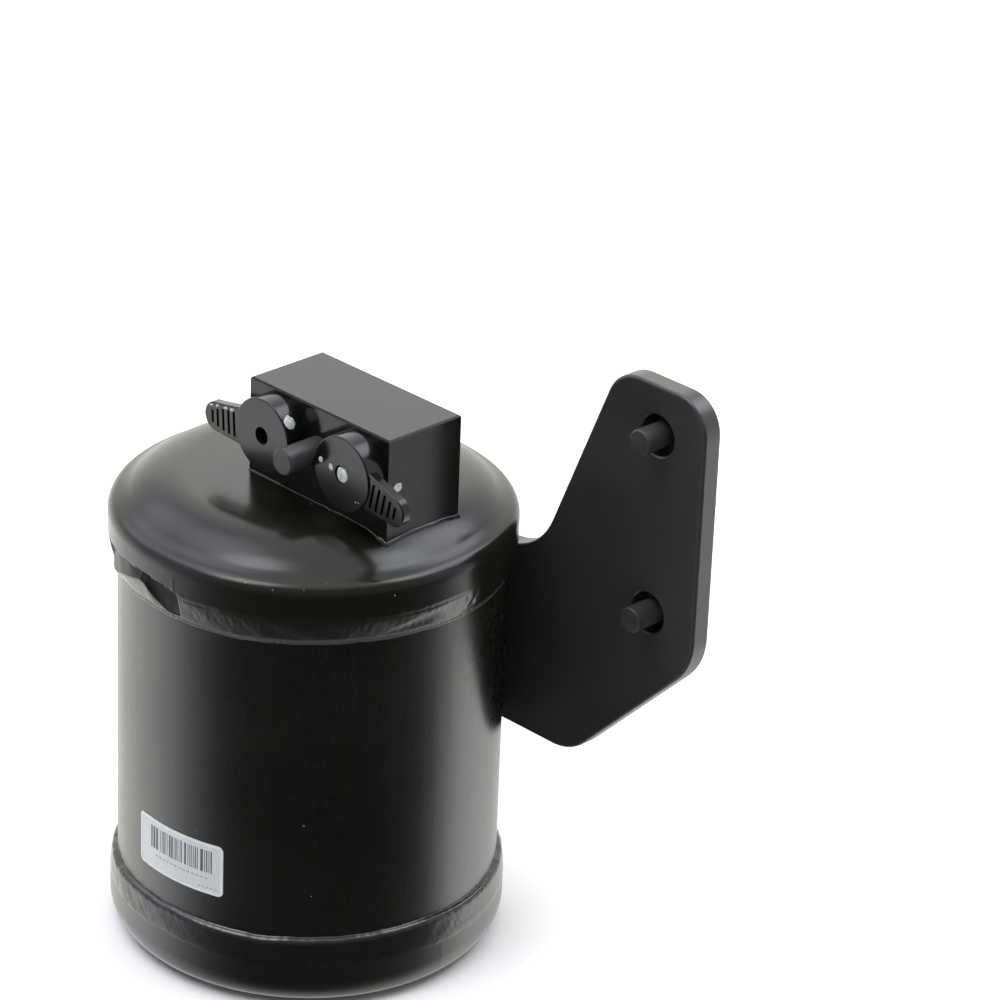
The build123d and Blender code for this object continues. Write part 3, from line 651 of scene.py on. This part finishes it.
# ------------------------------------------------------------------ lower seam
LOW_TOP = [(-180, 20.9), (-45, 19.6), (-28, 20.0), (-19, 20.6), (-10, 21.0), (5, 21.1), (20, 20.8), (32, 20.4),
           (45, 20.7), (70, 20.9), (84, 21.1), (94, 20.8), (107, 20.5), (130, 20.4), (180, 20.9)]
LOW_TOE = [(-180, 12.8), (-40, 13.6), (-24, 13.6), (-16, 13.0), (-4, 13.0), (7, 13.3), (16, 12.8), (24, 12.3),
           (40, 12.0), (56, 12.9), (66, 12.4), (82, 12.4), (92, 12.0), (100, 12.0), (130, 12.6), (180, 12.8)]
low_wave = band_noise(21, 10, 44)
low_fine = band_noise(22, 50, 150)
low_skin = surf_noise(23, 12, 70, 0.25, 1.3, 26)
low_ripple = surf_noise(24, 60, 190, 0.5, 2.6, 30)
low_grit = surf_noise(25, 160, 300, 2.0, 4.5)


def low_section(t):
    az = degrees_at(t)
    top = table(az, LOW_TOP) + 0.14 * low_wave(t) + 0.035 * low_fine(t)
    toe = table(az, LOW_TOE) + 0.18 * low_wave(t + 2) + 0.08 * low_fine(t + 1)
    # uneven run at the weld's start, smoother elsewhere
    rough = 0.22 + 1.1 * bell(az, -14, 19) + 0.45 * bell(az, 95, 8) + 0.3 * bell(az, 180, 60) + 0.3 * bell(az, -180, 60)
    sec = [(50.5, top + 0.12), (50.80, top + 0.08)]
    n = 30
    for k in range(n + 1):
        f = k / n
        z = top + (toe - top) * f ** 1.25
        rise = 1 - (1 - min(1.0, f / 0.30)) ** 2.4
        r = 50.82 + 1.50 * rise + 0.53 * smooth01((f - 0.12) / 0.8)
        r -= 0.11 * smooth01((f - 0.86) / 0.14)
        skin = math.sin(math.pi * min(1, f * 1.02)) ** 0.5
        r += rough * skin * (0.070 * low_skin(t, z) + 0.024 * low_ripple(t, z) + 0.010 * low_grit(t, z))
        r += 0.03 * low_fine(t) * bell(f, 0.16, 0.10)
        sec.append((min(53.2, r), z))
    sec += [(52.78, toe - 0.14), (52.4, toe - 0.14), (50.5, 15.2)]
    return sec


low_seam = ring_piece("lower_seam_bead", low_section, 1100, weld_paint, crease=80)
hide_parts("bottom_seam_weld")
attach(low_seam, "root")

# ------------------------------------------------------------------ bead at the block's foot
BX0, BX1, BY0, BY1 = -10.6, 41.0, -13.1, 11.7


def lid_z(x, y):
    r = math.hypot(x, y) - LID["flat"]
    return LID["top"] if r < 0 else LID["top"] - LID["roll"] + math.sqrt(LID["roll"] ** 2 - r * r)


def foot_path(step=0.35, turns=7):
    """Points on the block's wall with the outward direction, all the way round."""
    corners = [(BX0, BY0), (BX1, BY0), (BX1, BY1), (BX0, BY1)]
    out = [(0, -1), (1, 0), (0, 1), (-1, 0)]
    pts = []
    for k in range(4):
        (xa, ya), (xb, yb) = corners[k], corners[(k + 1) % 4]
        n = max(2, int(math.hypot(xb - xa, yb - ya) / step))
        for i in range(n + 1):
            f = i / n
            pts.append((xa + (xb - xa) * f, ya + (yb - ya) * f, *out[k]))
        a0 = math.atan2(out[k][1], out[k][0])
        for i in range(1, turns):
            g = a0 + math.pi / 2 * i / turns
            pts.append((xb, yb, math.cos(g), math.sin(g)))
    return pts


foot_rnd = band_noise(31, 5, 30)
foot_fine = band_noise(32, 30, 90)
path = foot_path()
verts, faces = [], []
for i, (x, y, nx, ny) in enumerate(path):
    t = 2 * math.pi * i / len(path)
    far = smooth01((math.hypot(x, y) - 36) / 8)
    w = 0.46 + 0.16 * far + 0.07 * foot_rnd(t) + 0.03 * foot_fine(t)
    h = 0.42 + 0.34 * far + 0.07 * foot_rnd(t + 2) + 0.03 * foot_fine(t + 1)
    if ny < -0.5:
        w += 0.22 * bell(x, 20.6, 0.8) - 0.12 * bell(x, 18.9, 0.7) + 0.42 * bell(x, 38.8, 1.3)
        h += 0.16 * bell(x, 20.6, 0.9) + 0.30 * bell(x, 38.8, 1.3)
    w, h = max(0.3, w), max(0.3, h)
    sec = [(-0.35, lid_z(x, y) + h * 0.9), (0.02, lid_z(x, y) + h)]
    for k in range(1, 8):
        g = k / 8 * math.pi / 2
        # between a flat and a rounded fillet
        u = w * (math.sin(g) ** 1.25)
        v = h * (math.cos(g) ** 1.25)
        sec.append((u, lid_z(x + nx * u, y + ny * u) + v))
    sec.append((w, lid_z(x + nx * w, y + ny * w) + 0.01))
    sec.append((w - 0.1, lid_z(x + nx * w, y + ny * w) - 0.35))
    sec.append((-0.35, lid_z(x, y) - 0.35))
    for u, z in sec:
        verts.append((x + nx * u, y + ny * u, z))
m = len(sec)
for i in range(len(path)):
    j = (i + 1) % len(path)
    for k in range(m):
        b = (k + 1) % m
        faces.append((i * m + k, j * m + k, j * m + b, i * m + b))
foot = mesh_object("block_foot_bead", verts, faces, weld_paint, crease=60)
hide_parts("port_block_weld")
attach(foot, "root")

# ------------------------------------------------------------------ stitches along the wrap's edges
stitch_size = band_noise(33, 20, 80)
verts, faces = [], []
for edge_z, sign in ((101.0, 1), (48.3, -1)):
    base, steps = len(verts), 220
    length = math.radians(32) * TUBE_R
    for i in range(steps + 1):
        s = length * i / steps
        t = azimuth(-170 + 32 * i / steps)
        end = min(s, length - s)
        full = math.sqrt(max(0.0, 1 - (1 - min(1.0, end / 2.4)) ** 2))
        size = 0.12 + 0.88 * full
        sec = [(50.45, edge_z - sign * 0.3)]
        for k in range(13):
            g = math.radians(90 * k / 12)
            beat = (s + 0.7 * math.sin(2 * g) + 0.12 * stitch_size(t)) / 1.65
            beat -= math.floor(beat)
            w = size * (2.06 + 0.22 * 4 * beat * (1 - beat) + 0.05 * stitch_size(t + sign))
            sec.append((50.78 + w * math.sin(g) ** 1.3, edge_z + sign * (w * math.cos(g) ** 1.3 + 0.01)))
        sec.append((sec[-1][0] - 0.05, edge_z - sign * 0.3))
        for r, z in sec:
            verts.append((r * math.cos(t), r * math.sin(t), z))
    m = len(sec)
    for i in range(steps):
        for k in range(m):
            b = (k + 1) % m
            faces.append((base + i * m + k, base + i * m + b, base + (i + 1) * m + b, base + (i + 1) * m + k))
    faces.append(tuple(base + k for k in range(m)))
    faces.append(tuple(base + steps * m + k for k in reversed(range(m))))
stitches = mesh_object("edge_stitch_beads", verts, faces, bracket_paint, crease=70)
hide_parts("bracket_edge_welds")
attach(stitches, "root")


# ------------------------------------------------------------------ marks on the label
def tube_tile(boxes, r0, r1):
    """Thin closed tiles on the tube: each (azimuth 0, azimuth 1, z 0, z 1)."""
    verts, faces = [], []
    for a0, a1, z0, z1 in boxes:
        n = max(1, int(abs(a1 - a0) / 0.7))
        base = len(verts)
        for i in range(n + 1):
            t = azimuth(a0 + (a1 - a0) * i / n)
            for r, z in ((r0, z0), (r1, z0), (r1, z1), (r0, z1)):
                verts.append((r * math.cos(t), r * math.sin(t), z))
        for i in range(n):
            for k in range(4):
                b = (k + 1) % 4
                faces.append((base + i * 4 + k, base + i * 4 + b, base + i * 4 + 4 + b, base + i * 4 + 4 + k))
        faces.append(tuple(base + k for k in range(4)))
        faces.append(tuple(base + n * 4 + k for k in (3, 2, 1, 0)))
    return verts, faces


rnd = random.Random(5)
bars, pos = [], -5.6
while pos < 18.6:
    wide = rnd.choice((0.26, 0.26, 0.42, 0.42, 0.66, 0.9))
    bars.append((pos, min(pos + wide, 19.2), 35.6, 42.1))
    pos += wide + rnd.choice((0.3, 0.42, 0.42, 0.62, 0.9))
v, f = tube_tile(bars, 50.90, 50.972)
bar_piece = mesh_object("label_bars", v, f, ink_mat, smooth=False)
dashes, pos = [], -3.4
while pos < 16.6:
    dashes.append((pos, pos + 1.0, 33.6, 34.0))
    pos += 1.62
pos = 13.8
while pos < 19.8:
    dashes.append((pos, pos + 0.8, 30.9, 31.25))
    pos += 1.35
v, f = tube_tile(dashes, 50.90, 50.968)
dash_piece = mesh_object("label_dashes", v, f, faint_ink, smooth=False)

# pale rim of the label
def rounded_outline(inset, n=8):
    a0, a1, z0, z1, rad = -11.3, 22.2, 29.3, 44.2, 1.5
    k = math.degrees(1 / 50.95)
    pts = []
    for cx, cz, g0 in ((a1 / k - rad, z1 - rad, 0), (a0 / k + rad, z1 - rad, 90), (a0 / k + rad, z0 + rad, 180), (a1 / k - rad, z0 + rad, 270)):
        for i in range(n + 1):
            g = math.radians(g0 + 90 * i / n)
            pts.append((cx + (rad - inset) * math.cos(g), cz + (rad - inset) * math.sin(g)))
    dense = []
    for i in range(len(pts)):
        (xa, ya), (xb, yb) = pts[i], pts[(i + 1) % len(pts)]
        m = max(1, int(math.hypot(xb - xa, yb - ya) / 0.8))
        for j in range(m):
            dense.append((xa + (xb - xa) * j / m, ya + (yb - ya) * j / m))
    return dense


outer = rounded_outline(0.12)
verts, faces = [], []
for far, near in zip(outer, rounded_outline(0.74)):
    for (uu, zz), r in ((far, 50.90), (far, 50.975), (near, 50.975), (near, 50.90)):
        t = azimuth(math.degrees(uu / 50.95))
        verts.append((r * math.cos(t), r * math.sin(t), zz))
for i in range(len(outer)):
    j = (i + 1) % len(outer)
    for k in range(4):
        b = (k + 1) % 4
        faces.append((i * 4 + k, j * 4 + k, j * 4 + b, i * 4 + b))
rim_piece = mesh_object("label_rim", verts, faces, rim_mat, crease=30)
for piece in (bar_piece, dash_piece, rim_piece):
    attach(piece, "root")

# ------------------------------------------------------------------ camera
cam_data = bpy.data.cameras.new("camera")
cam = bpy.data.objects.new("camera", cam_data)
bpy.context.scene.collection.objects.link(cam)
bpy.context.scene.camera = cam
right = Vector((0.7007439786, 0.7124617309, 0.0368260568))
up = Vector((-0.3322824661, 0.2802680398, 0.9005765868))
back = Vector((0.6313051870, -0.6433102734, 0.4331346822))
cam.matrix_world = Matrix(
    (
        (right.x, up.x, back.x, 0.7358085446),
        (right.y, up.y, back.y, -0.6812931024),
        (right.z, up.z, back.z, 0.6051337424),
        (0, 0, 0, 1),
    )
)
cam_data.sensor_width = 36.0
cam_data.lens = 36.0 * 4.300555692
cam_data.clip_start, cam_data.clip_end = 0.05, 50.0

# ------------------------------------------------------------------ spots of dried paint
from mathutils.bvhtree import BVHTree

targets = [nodes[n] for n in ("outlet_port_cap", "inlet_port_cap", "port_block", "block_thread_plug")] + [lid, tube]
all_v, all_f = [], []
for ob in targets:
    base = len(all_v)
    all_v += [ob.matrix_world @ v.co for v in ob.data.vertices]
    all_f += [[base + i for i in p.vertices] for p in ob.data.polygons]
solid = BVHTree.FromPolygons(all_v, all_f)
cam_at = cam.matrix_world.translation.copy()


def through(px, py):
    """Where the camera's ray through a pixel of the photo meets the object."""
    d = right * ((px - 500) / 4300.5557) - up * ((py - 500) / 4300.5557) - back
    return solid.ray_cast(cam_at, d.normalized())


def dab(px, py, rx, ry, turn, seed):
    """A spot of paint that lies on the surface seen at a pixel."""
    thick = 0.13 if rx > 0.3 else 0.06
    middle = through(px, py)
    if middle[0] is None:
        return [], []
    c, n = middle[0], middle[1].normalized()
    if n.dot(cam_at - c) < 0:
        n = -n
    side = n.cross(Vector((0, 0, 1)))
    side = side.normalized() if side.length > 0.1 else Vector((1, 0, 0))
    high = n.cross(side).normalized()
    edge = band_noise(seed, 2, 9)
    bump = band_noise(seed + 50, 3, 12)
    verts, faces = [], []
    rings, count = 6, 36
    ct, st = math.cos(math.radians(turn)), math.sin(math.radians(turn))

    def spot(u, v, lift):
        p = c + side * (u * MM) + high * (v * MM)
        hit = solid.ray_cast(p + n * 0.0012, -n, 0.0024)
        base, nn = (hit[0], hit[1]) if hit[0] is not None else (p, n)
        if nn.dot(n) < 0:
            nn = -nn
        return base + nn * (lift * MM)

    for k in range(rings + 1):
        rho = k / rings
        for i in range(count):
            g = 2 * math.pi * i / count
            e = 1 + 0.11 * edge(g)
            u, v = rho * rx * e * math.cos(g), rho * ry * e * math.sin(g)
            lift = thick * (1 - rho ** 3) * (1 + 0.35 * bump(g + rho * 3)) + 0.012
            if k == rings:
                lift = -0.05
            verts.append(spot(u * ct - v * st, u * st + v * ct, lift) / MM)
    for k in range(1, rings):
        for i in range(count):
            j = (i + 1) % count
            a0, a1 = k * count, (k + 1) * count
            faces.append((a0 + i, a0 + j, a1 + j, a1 + i))
    # middle fan, then the underside
    top = len(verts)
    verts.append(spot(0, 0, thick * 1.05) / MM)
    low = len(verts)
    verts.append(spot(0, 0, -0.05) / MM)
    for i in range(count):
        j = (i + 1) % count
        faces.append((top, count + j, count + i))
        faces.append((low, rings * count + i, rings * count + j))
    used = sorted({i for f in faces for i in f})
    remap = {o: k for k, o in enumerate(used)}
    return [verts[i] for i in used], [tuple(remap[i] for i in f) for f in faces]


spots = [
    (289.6, 422.6, 1.75, 1.95, 10, 1), (320.8, 459.4, 0.80, 0.88, 0, 2), (330.8, 466.8, 0.86, 0.98, 20, 3),
    (398, 487.6, 1.45, 1.35, -25, 4), (355.5, 502.5, 0.30, 0.2, 0, 6), (358.3, 503.2, 0.2, 0.15, 0, 7),
    (211.5, 404.6, 0.80, 0.34, 20, 8), (217.3, 405.6, 0.66, 0.36, 30, 9), (225.6, 408.3, 0.82, 0.46, 25, 10),
    (231.8, 410.2, 0.92, 0.48, 25, 11),
    (245, 582.5, 0.17, 0.17, 0, 21), (272.5, 590, 0.15, 0.15, 0, 22), (303.8, 590, 0.14, 0.14, 0, 23),
    (326.3, 583.8, 0.13, 0.13, 0, 24), (395, 595.5, 0.17, 0.17, 0, 25), (311.3, 503.8, 0.18, 0.16, 0, 26),
    (463.8, 486, 0.14, 0.14, 0, 27), (195, 830, 0.14, 0.14, 0, 28), (303.8, 825.8, 0.17, 0.14, 0, 29),
    (311.3, 896.3, 0.15, 0.13, 0, 30),
]
verts, faces = [], []
for spec in spots:
    v, f = dab(*spec)
    base = len(verts)
    verts += v
    faces += [tuple(base + i for i in q) for q in f]
# the spot that half fills the right cap's hole
hx, hy, hz, edge = 30.1, -18.75, 145.7, band_noise(61, 2, 8)
base, rings, count = len(verts), 6, 30
for layer, sign in ((0, -1), (1, 1)):
    for k in range(rings + 1):
        rho = k / rings
        for i in range(count):
            g = 2 * math.pi * i / count
            rr = 2.05 * rho * (1 + 0.06 * edge(g))
            y = hy + sign * 0.38 * (1 - rho ** 4) * (1 + 0.3 * edge(g * 2 + rho * 2)) + (0.5 if layer else 0)
            x, z = hx + 0.22 + rr * math.cos(g), hz - 0.22 + rr * math.sin(g)
            far = math.hypot(x - hx, z - hz)
            if far > 2.42:
                x, z = hx + (x - hx) * 2.42 / far, hz + (z - hz) * 2.42 / far
            verts.append((x, y, z))
for layer in (0, 1):
    o = base + layer * (rings + 1) * count
    for k in range(rings):
        for i in range(count):
            j = (i + 1) % count
            faces.append((o + k * count + i, o + k * count + j, o + (k + 1) * count + j, o + (k + 1) * count + i))
a0, b0 = base + rings * count, base + (2 * rings + 1) * count
for i in range(count):
    j = (i + 1) % count
    faces.append((a0 + i, a0 + j, b0 + j, b0 + i))
paint_spots = mesh_object("paint_spots", verts, faces, dab_mat, crease=100)
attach(paint_spots, "root")

# ------------------------------------------------------------------ stage
floor_mat = Nodes("floor")
fn = floor_mat.noise(3.0, 2.0)
floor_mat.link(floor_mat.ramp(fn, [(0.3, (0.78, 0.78, 0.775, 1)), (0.7, (0.80, 0.80, 0.795, 1))]), floor_mat.bsdf.inputs["Base Color"])
floor_mat.bsdf.inputs["Roughness"].default_value = 0.85
floor_mat.bsdf.inputs["Specular IOR Level"].default_value = 0.1
bm = bmesh.new()
bmesh.ops.create_grid(bm, x_segments=8, y_segments=8, size=6.0)
me = bpy.data.meshes.new("floor")
bm.to_mesh(me)
bm.free()
floor = bpy.data.objects.new("floor", me)
bpy.context.scene.collection.objects.link(floor)
floor.data.materials.append(floor_mat.mat)
floor.visible_glossy = False

# a studio that is dark behind the photographer and white behind and above the object
world = bpy.data.worlds.new("studio")
bpy.context.scene.world = world
world.use_nodes = True
wt = world.node_tree
wt.nodes.clear()
w_out = wt.nodes.new("ShaderNodeOutputWorld")
w_tc = wt.nodes.new("ShaderNodeTexCoord")
w_sep = wt.nodes.new("ShaderNodeSeparateXYZ")
wt.links.new(w_tc.outputs["Generated"], w_sep.inputs[0])


def w_math(op, a, b=None, c=None):
    n = wt.nodes.new("ShaderNodeMath")
    n.operation = op
    for i, v in enumerate((a, b, c)):
        if v is None:
            continue
        if isinstance(v, (int, float)):
            n.inputs[i].default_value = v
        else:
            wt.links.new(v, n.inputs[i])
    return n.outputs["Value"]


def w_range(v, lo, hi, a, b, smooth=True):
    n = wt.nodes.new("ShaderNodeMapRange")
    n.interpolation_type = "SMOOTHSTEP" if smooth else "LINEAR"
    n.inputs["From Min"].default_value = lo
    n.inputs["From Max"].default_value = hi
    n.inputs["To Min"].default_value = a
    n.inputs["To Max"].default_value = b
    wt.links.new(v, n.inputs["Value"])
    return n.outputs["Result"]


X, Y, Z = w_sep.outputs
front = w_math("ADD", w_math("MULTIPLY", X, 0.7004), w_math("MULTIPLY", Y, -0.7137))
side = w_math("ADD", w_math("MULTIPLY", X, 0.7012), w_math("MULTIPLY", Y, 0.7130))
turn = w_math("MULTIPLY", w_math("ARCTAN2", side, front), 180 / math.pi)

# brightness by direction, for rays near or below the horizon (degrees from the photographer's side)
LOW = [(-180, 1.0), (-170, 1.3), (-157, 1.55), (-138, 1.75), (-119, 1.95), (-98, 2.25), (-82, 1.55), (-66, 0.55),
       (-52, 0.14), (-40, 0.04), (-20, 0.02), (20, 0.015), (44, 0.025), (57, 0.055), (71, 0.15), (79, 0.33), (86, 0.8),
       (95, 1.8), (104, 2.6), (122, 2.1), (145, 1.3), (180, 1.0)]
STEEP = [(-180, 0.9), (-110, 0.9), (-75, 0.6), (-52, 0.35), (-30, 0.10), (30, 0.08), (50, 0.30), (72, 0.85), (110, 1.2), (180, 0.9)]
HIGH = [(-180, 2.1), (-160, 1.5), (-150, 1.2), (-120, 1.0), (-85, 0.9), (-62, 0.5), (-45, 0.26), (45, 0.26), (62, 0.45), (85, 0.9),
        (120, 1.0), (150, 1.1), (162, 1.5), (180, 2.1)]


def w_ramp(stops, scale):
    n = wt.nodes.new("ShaderNodeValToRGB")
    n.color_ramp.interpolation = "B_SPLINE"
    el = n.color_ramp.elements
    while len(el) > 1:
        el.remove(el[-1])
    for k, (x, v) in enumerate(stops):
        e = el[0] if k == 0 else el.new((x + 180) / 360)
        e.position = (x + 180) / 360
        e.color = (v / scale, v / scale, v / scale, 1)
    wt.links.new(w_range(turn, -180, 180, 0, 1, False), n.inputs["Fac"])
    return w_math("MULTIPLY", n.outputs["Color"], scale)


low_level = w_ramp(LOW, 3.0)
steep_level = w_ramp(STEEP, 3.0)
high_level = w_ramp(HIGH, 3.0)
down = w_range(Z, -0.92, -0.60, 1.0, 0.0)
low_level = w_math("ADD", w_math("MULTIPLY", low_level, w_math("SUBTRACT", 1.0, down)), w_math("MULTIPLY", steep_level, down))
nadir = w_range(Z, -0.99, -0.94, 1.0, 0.0)
low_level = w_math("ADD", w_math("MULTIPLY", low_level, w_math("SUBTRACT", 1.0, nadir)), w_math("MULTIPLY", nadir, 0.8))
lift = w_range(Z, -0.25, 0.30, 0.0, 1.0)
level = w_math("ADD", w_math("MULTIPLY", low_level, w_math("SUBTRACT", 1.0, lift)), w_math("MULTIPLY", high_level, lift))
crown = w_range(Z, 0.70, 0.96, 0.0, 1.0)
level = w_math("ADD", w_math("MULTIPLY", level, w_math("SUBTRACT", 1.0, crown)), w_math("MULTIPLY", crown, 1.45))


def toward(turn_deg, up_deg):
    ct, stn = math.cos(math.radians(turn_deg)), math.sin(math.radians(turn_deg))
    ce = math.cos(math.radians(up_deg))
    return (
        ce * (0.7004 * ct + 0.7012 * stn),
        ce * (-0.7137 * ct + 0.7130 * stn),
        math.sin(math.radians(up_deg)),
    )


def lamp_spot(turn_deg, up_deg, r_in, r_out):
    """1 inside r_in degrees of a direction, 0 outside r_out."""
    d = toward(turn_deg, up_deg)
    dot = w_math("ADD", w_math("ADD", w_math("MULTIPLY", X, d[0]), w_math("MULTIPLY", Y, d[1])), w_math("MULTIPLY", Z, d[2]))
    return w_range(dot, math.cos(math.radians(r_out)), math.cos(math.radians(r_in)), 0.0, 1.0)


cool = w_math("MULTIPLY", lamp_spot(-60, 62, 6, 18), 6.4)
for spec, gain in (((92, 59, 6, 16), 4.9), ((122, 46, 7, 19), 3.4), ((-108, 58, 7, 21), 1.9), ((-128, 38, 6, 20), 1.3)):
    cool = w_math("MAXIMUM", cool, w_math("MULTIPLY", lamp_spot(*spec), gain))
w_bg = wt.nodes.new("ShaderNodeBackground")
w_bg.inputs["Color"].default_value = (1.0, 0.99, 0.965, 1)
w_lamp = wt.nodes.new("ShaderNodeBackground")
w_tint = wt.nodes.new("ShaderNodeValToRGB")
w_tint.color_ramp.elements[0].color = (1.0, 0.86, 1.32, 1)
w_tint.color_ramp.elements[1].color = (0.93, 1.0, 1.05, 1)
w_tint.color_ramp.elements[1].position = 0.8
wt.links.new(w_math("DIVIDE", cool, 5.2), w_tint.inputs["Fac"])
wt.links.new(w_tint.outputs["Color"], w_lamp.inputs["Color"])
wt.links.new(cool, w_lamp.inputs["Strength"])
w_add = wt.nodes.new("ShaderNodeAddShader")
wt.links.new(level, w_bg.inputs["Strength"])
wt.links.new(w_bg.outputs[0], w_add.inputs[0])
wt.links.new(w_lamp.outputs[0], w_add.inputs[1])
w_seen = wt.nodes.new("ShaderNodeBackground")
w_seen.inputs["Color"].default_value = (0.94, 0.94, 0.935, 1)
w_seen.inputs["Strength"].default_value = 1.0
w_mix = wt.nodes.new("ShaderNodeMixShader")
w_lp = wt.nodes.new("ShaderNodeLightPath")
wt.links.new(w_lp.outputs["Is Camera Ray"], w_mix.inputs[0])
wt.links.new(w_add.outputs[0], w_mix.inputs[1])
wt.links.new(w_seen.outputs[0], w_mix.inputs[2])
wt.links.new(w_mix.outputs[0], w_out.inputs["Surface"])


def soft_lamp(name, place, aim, size, watts, glossy=False):
    data = bpy.data.lights.new(name, "AREA")
    data.shape = "SQUARE"
    data.size = size
    data.energy = watts
    ob = bpy.data.objects.new(name, data)
    bpy.context.scene.collection.objects.link(ob)
    ob.location = place
    ob.rotation_euler = (Vector(aim) - Vector(place)).to_track_quat("-Z", "Y").to_euler()
    ob.visible_glossy = glossy
    return ob


soft_lamp("overhead", (0.1, 0.1, 1.8), (0, 0, 0), 1.6, 14.0)

bpy.context.scene.view_settings.view_transform = "Standard"
bpy.context.scene.view_settings.look = "None"
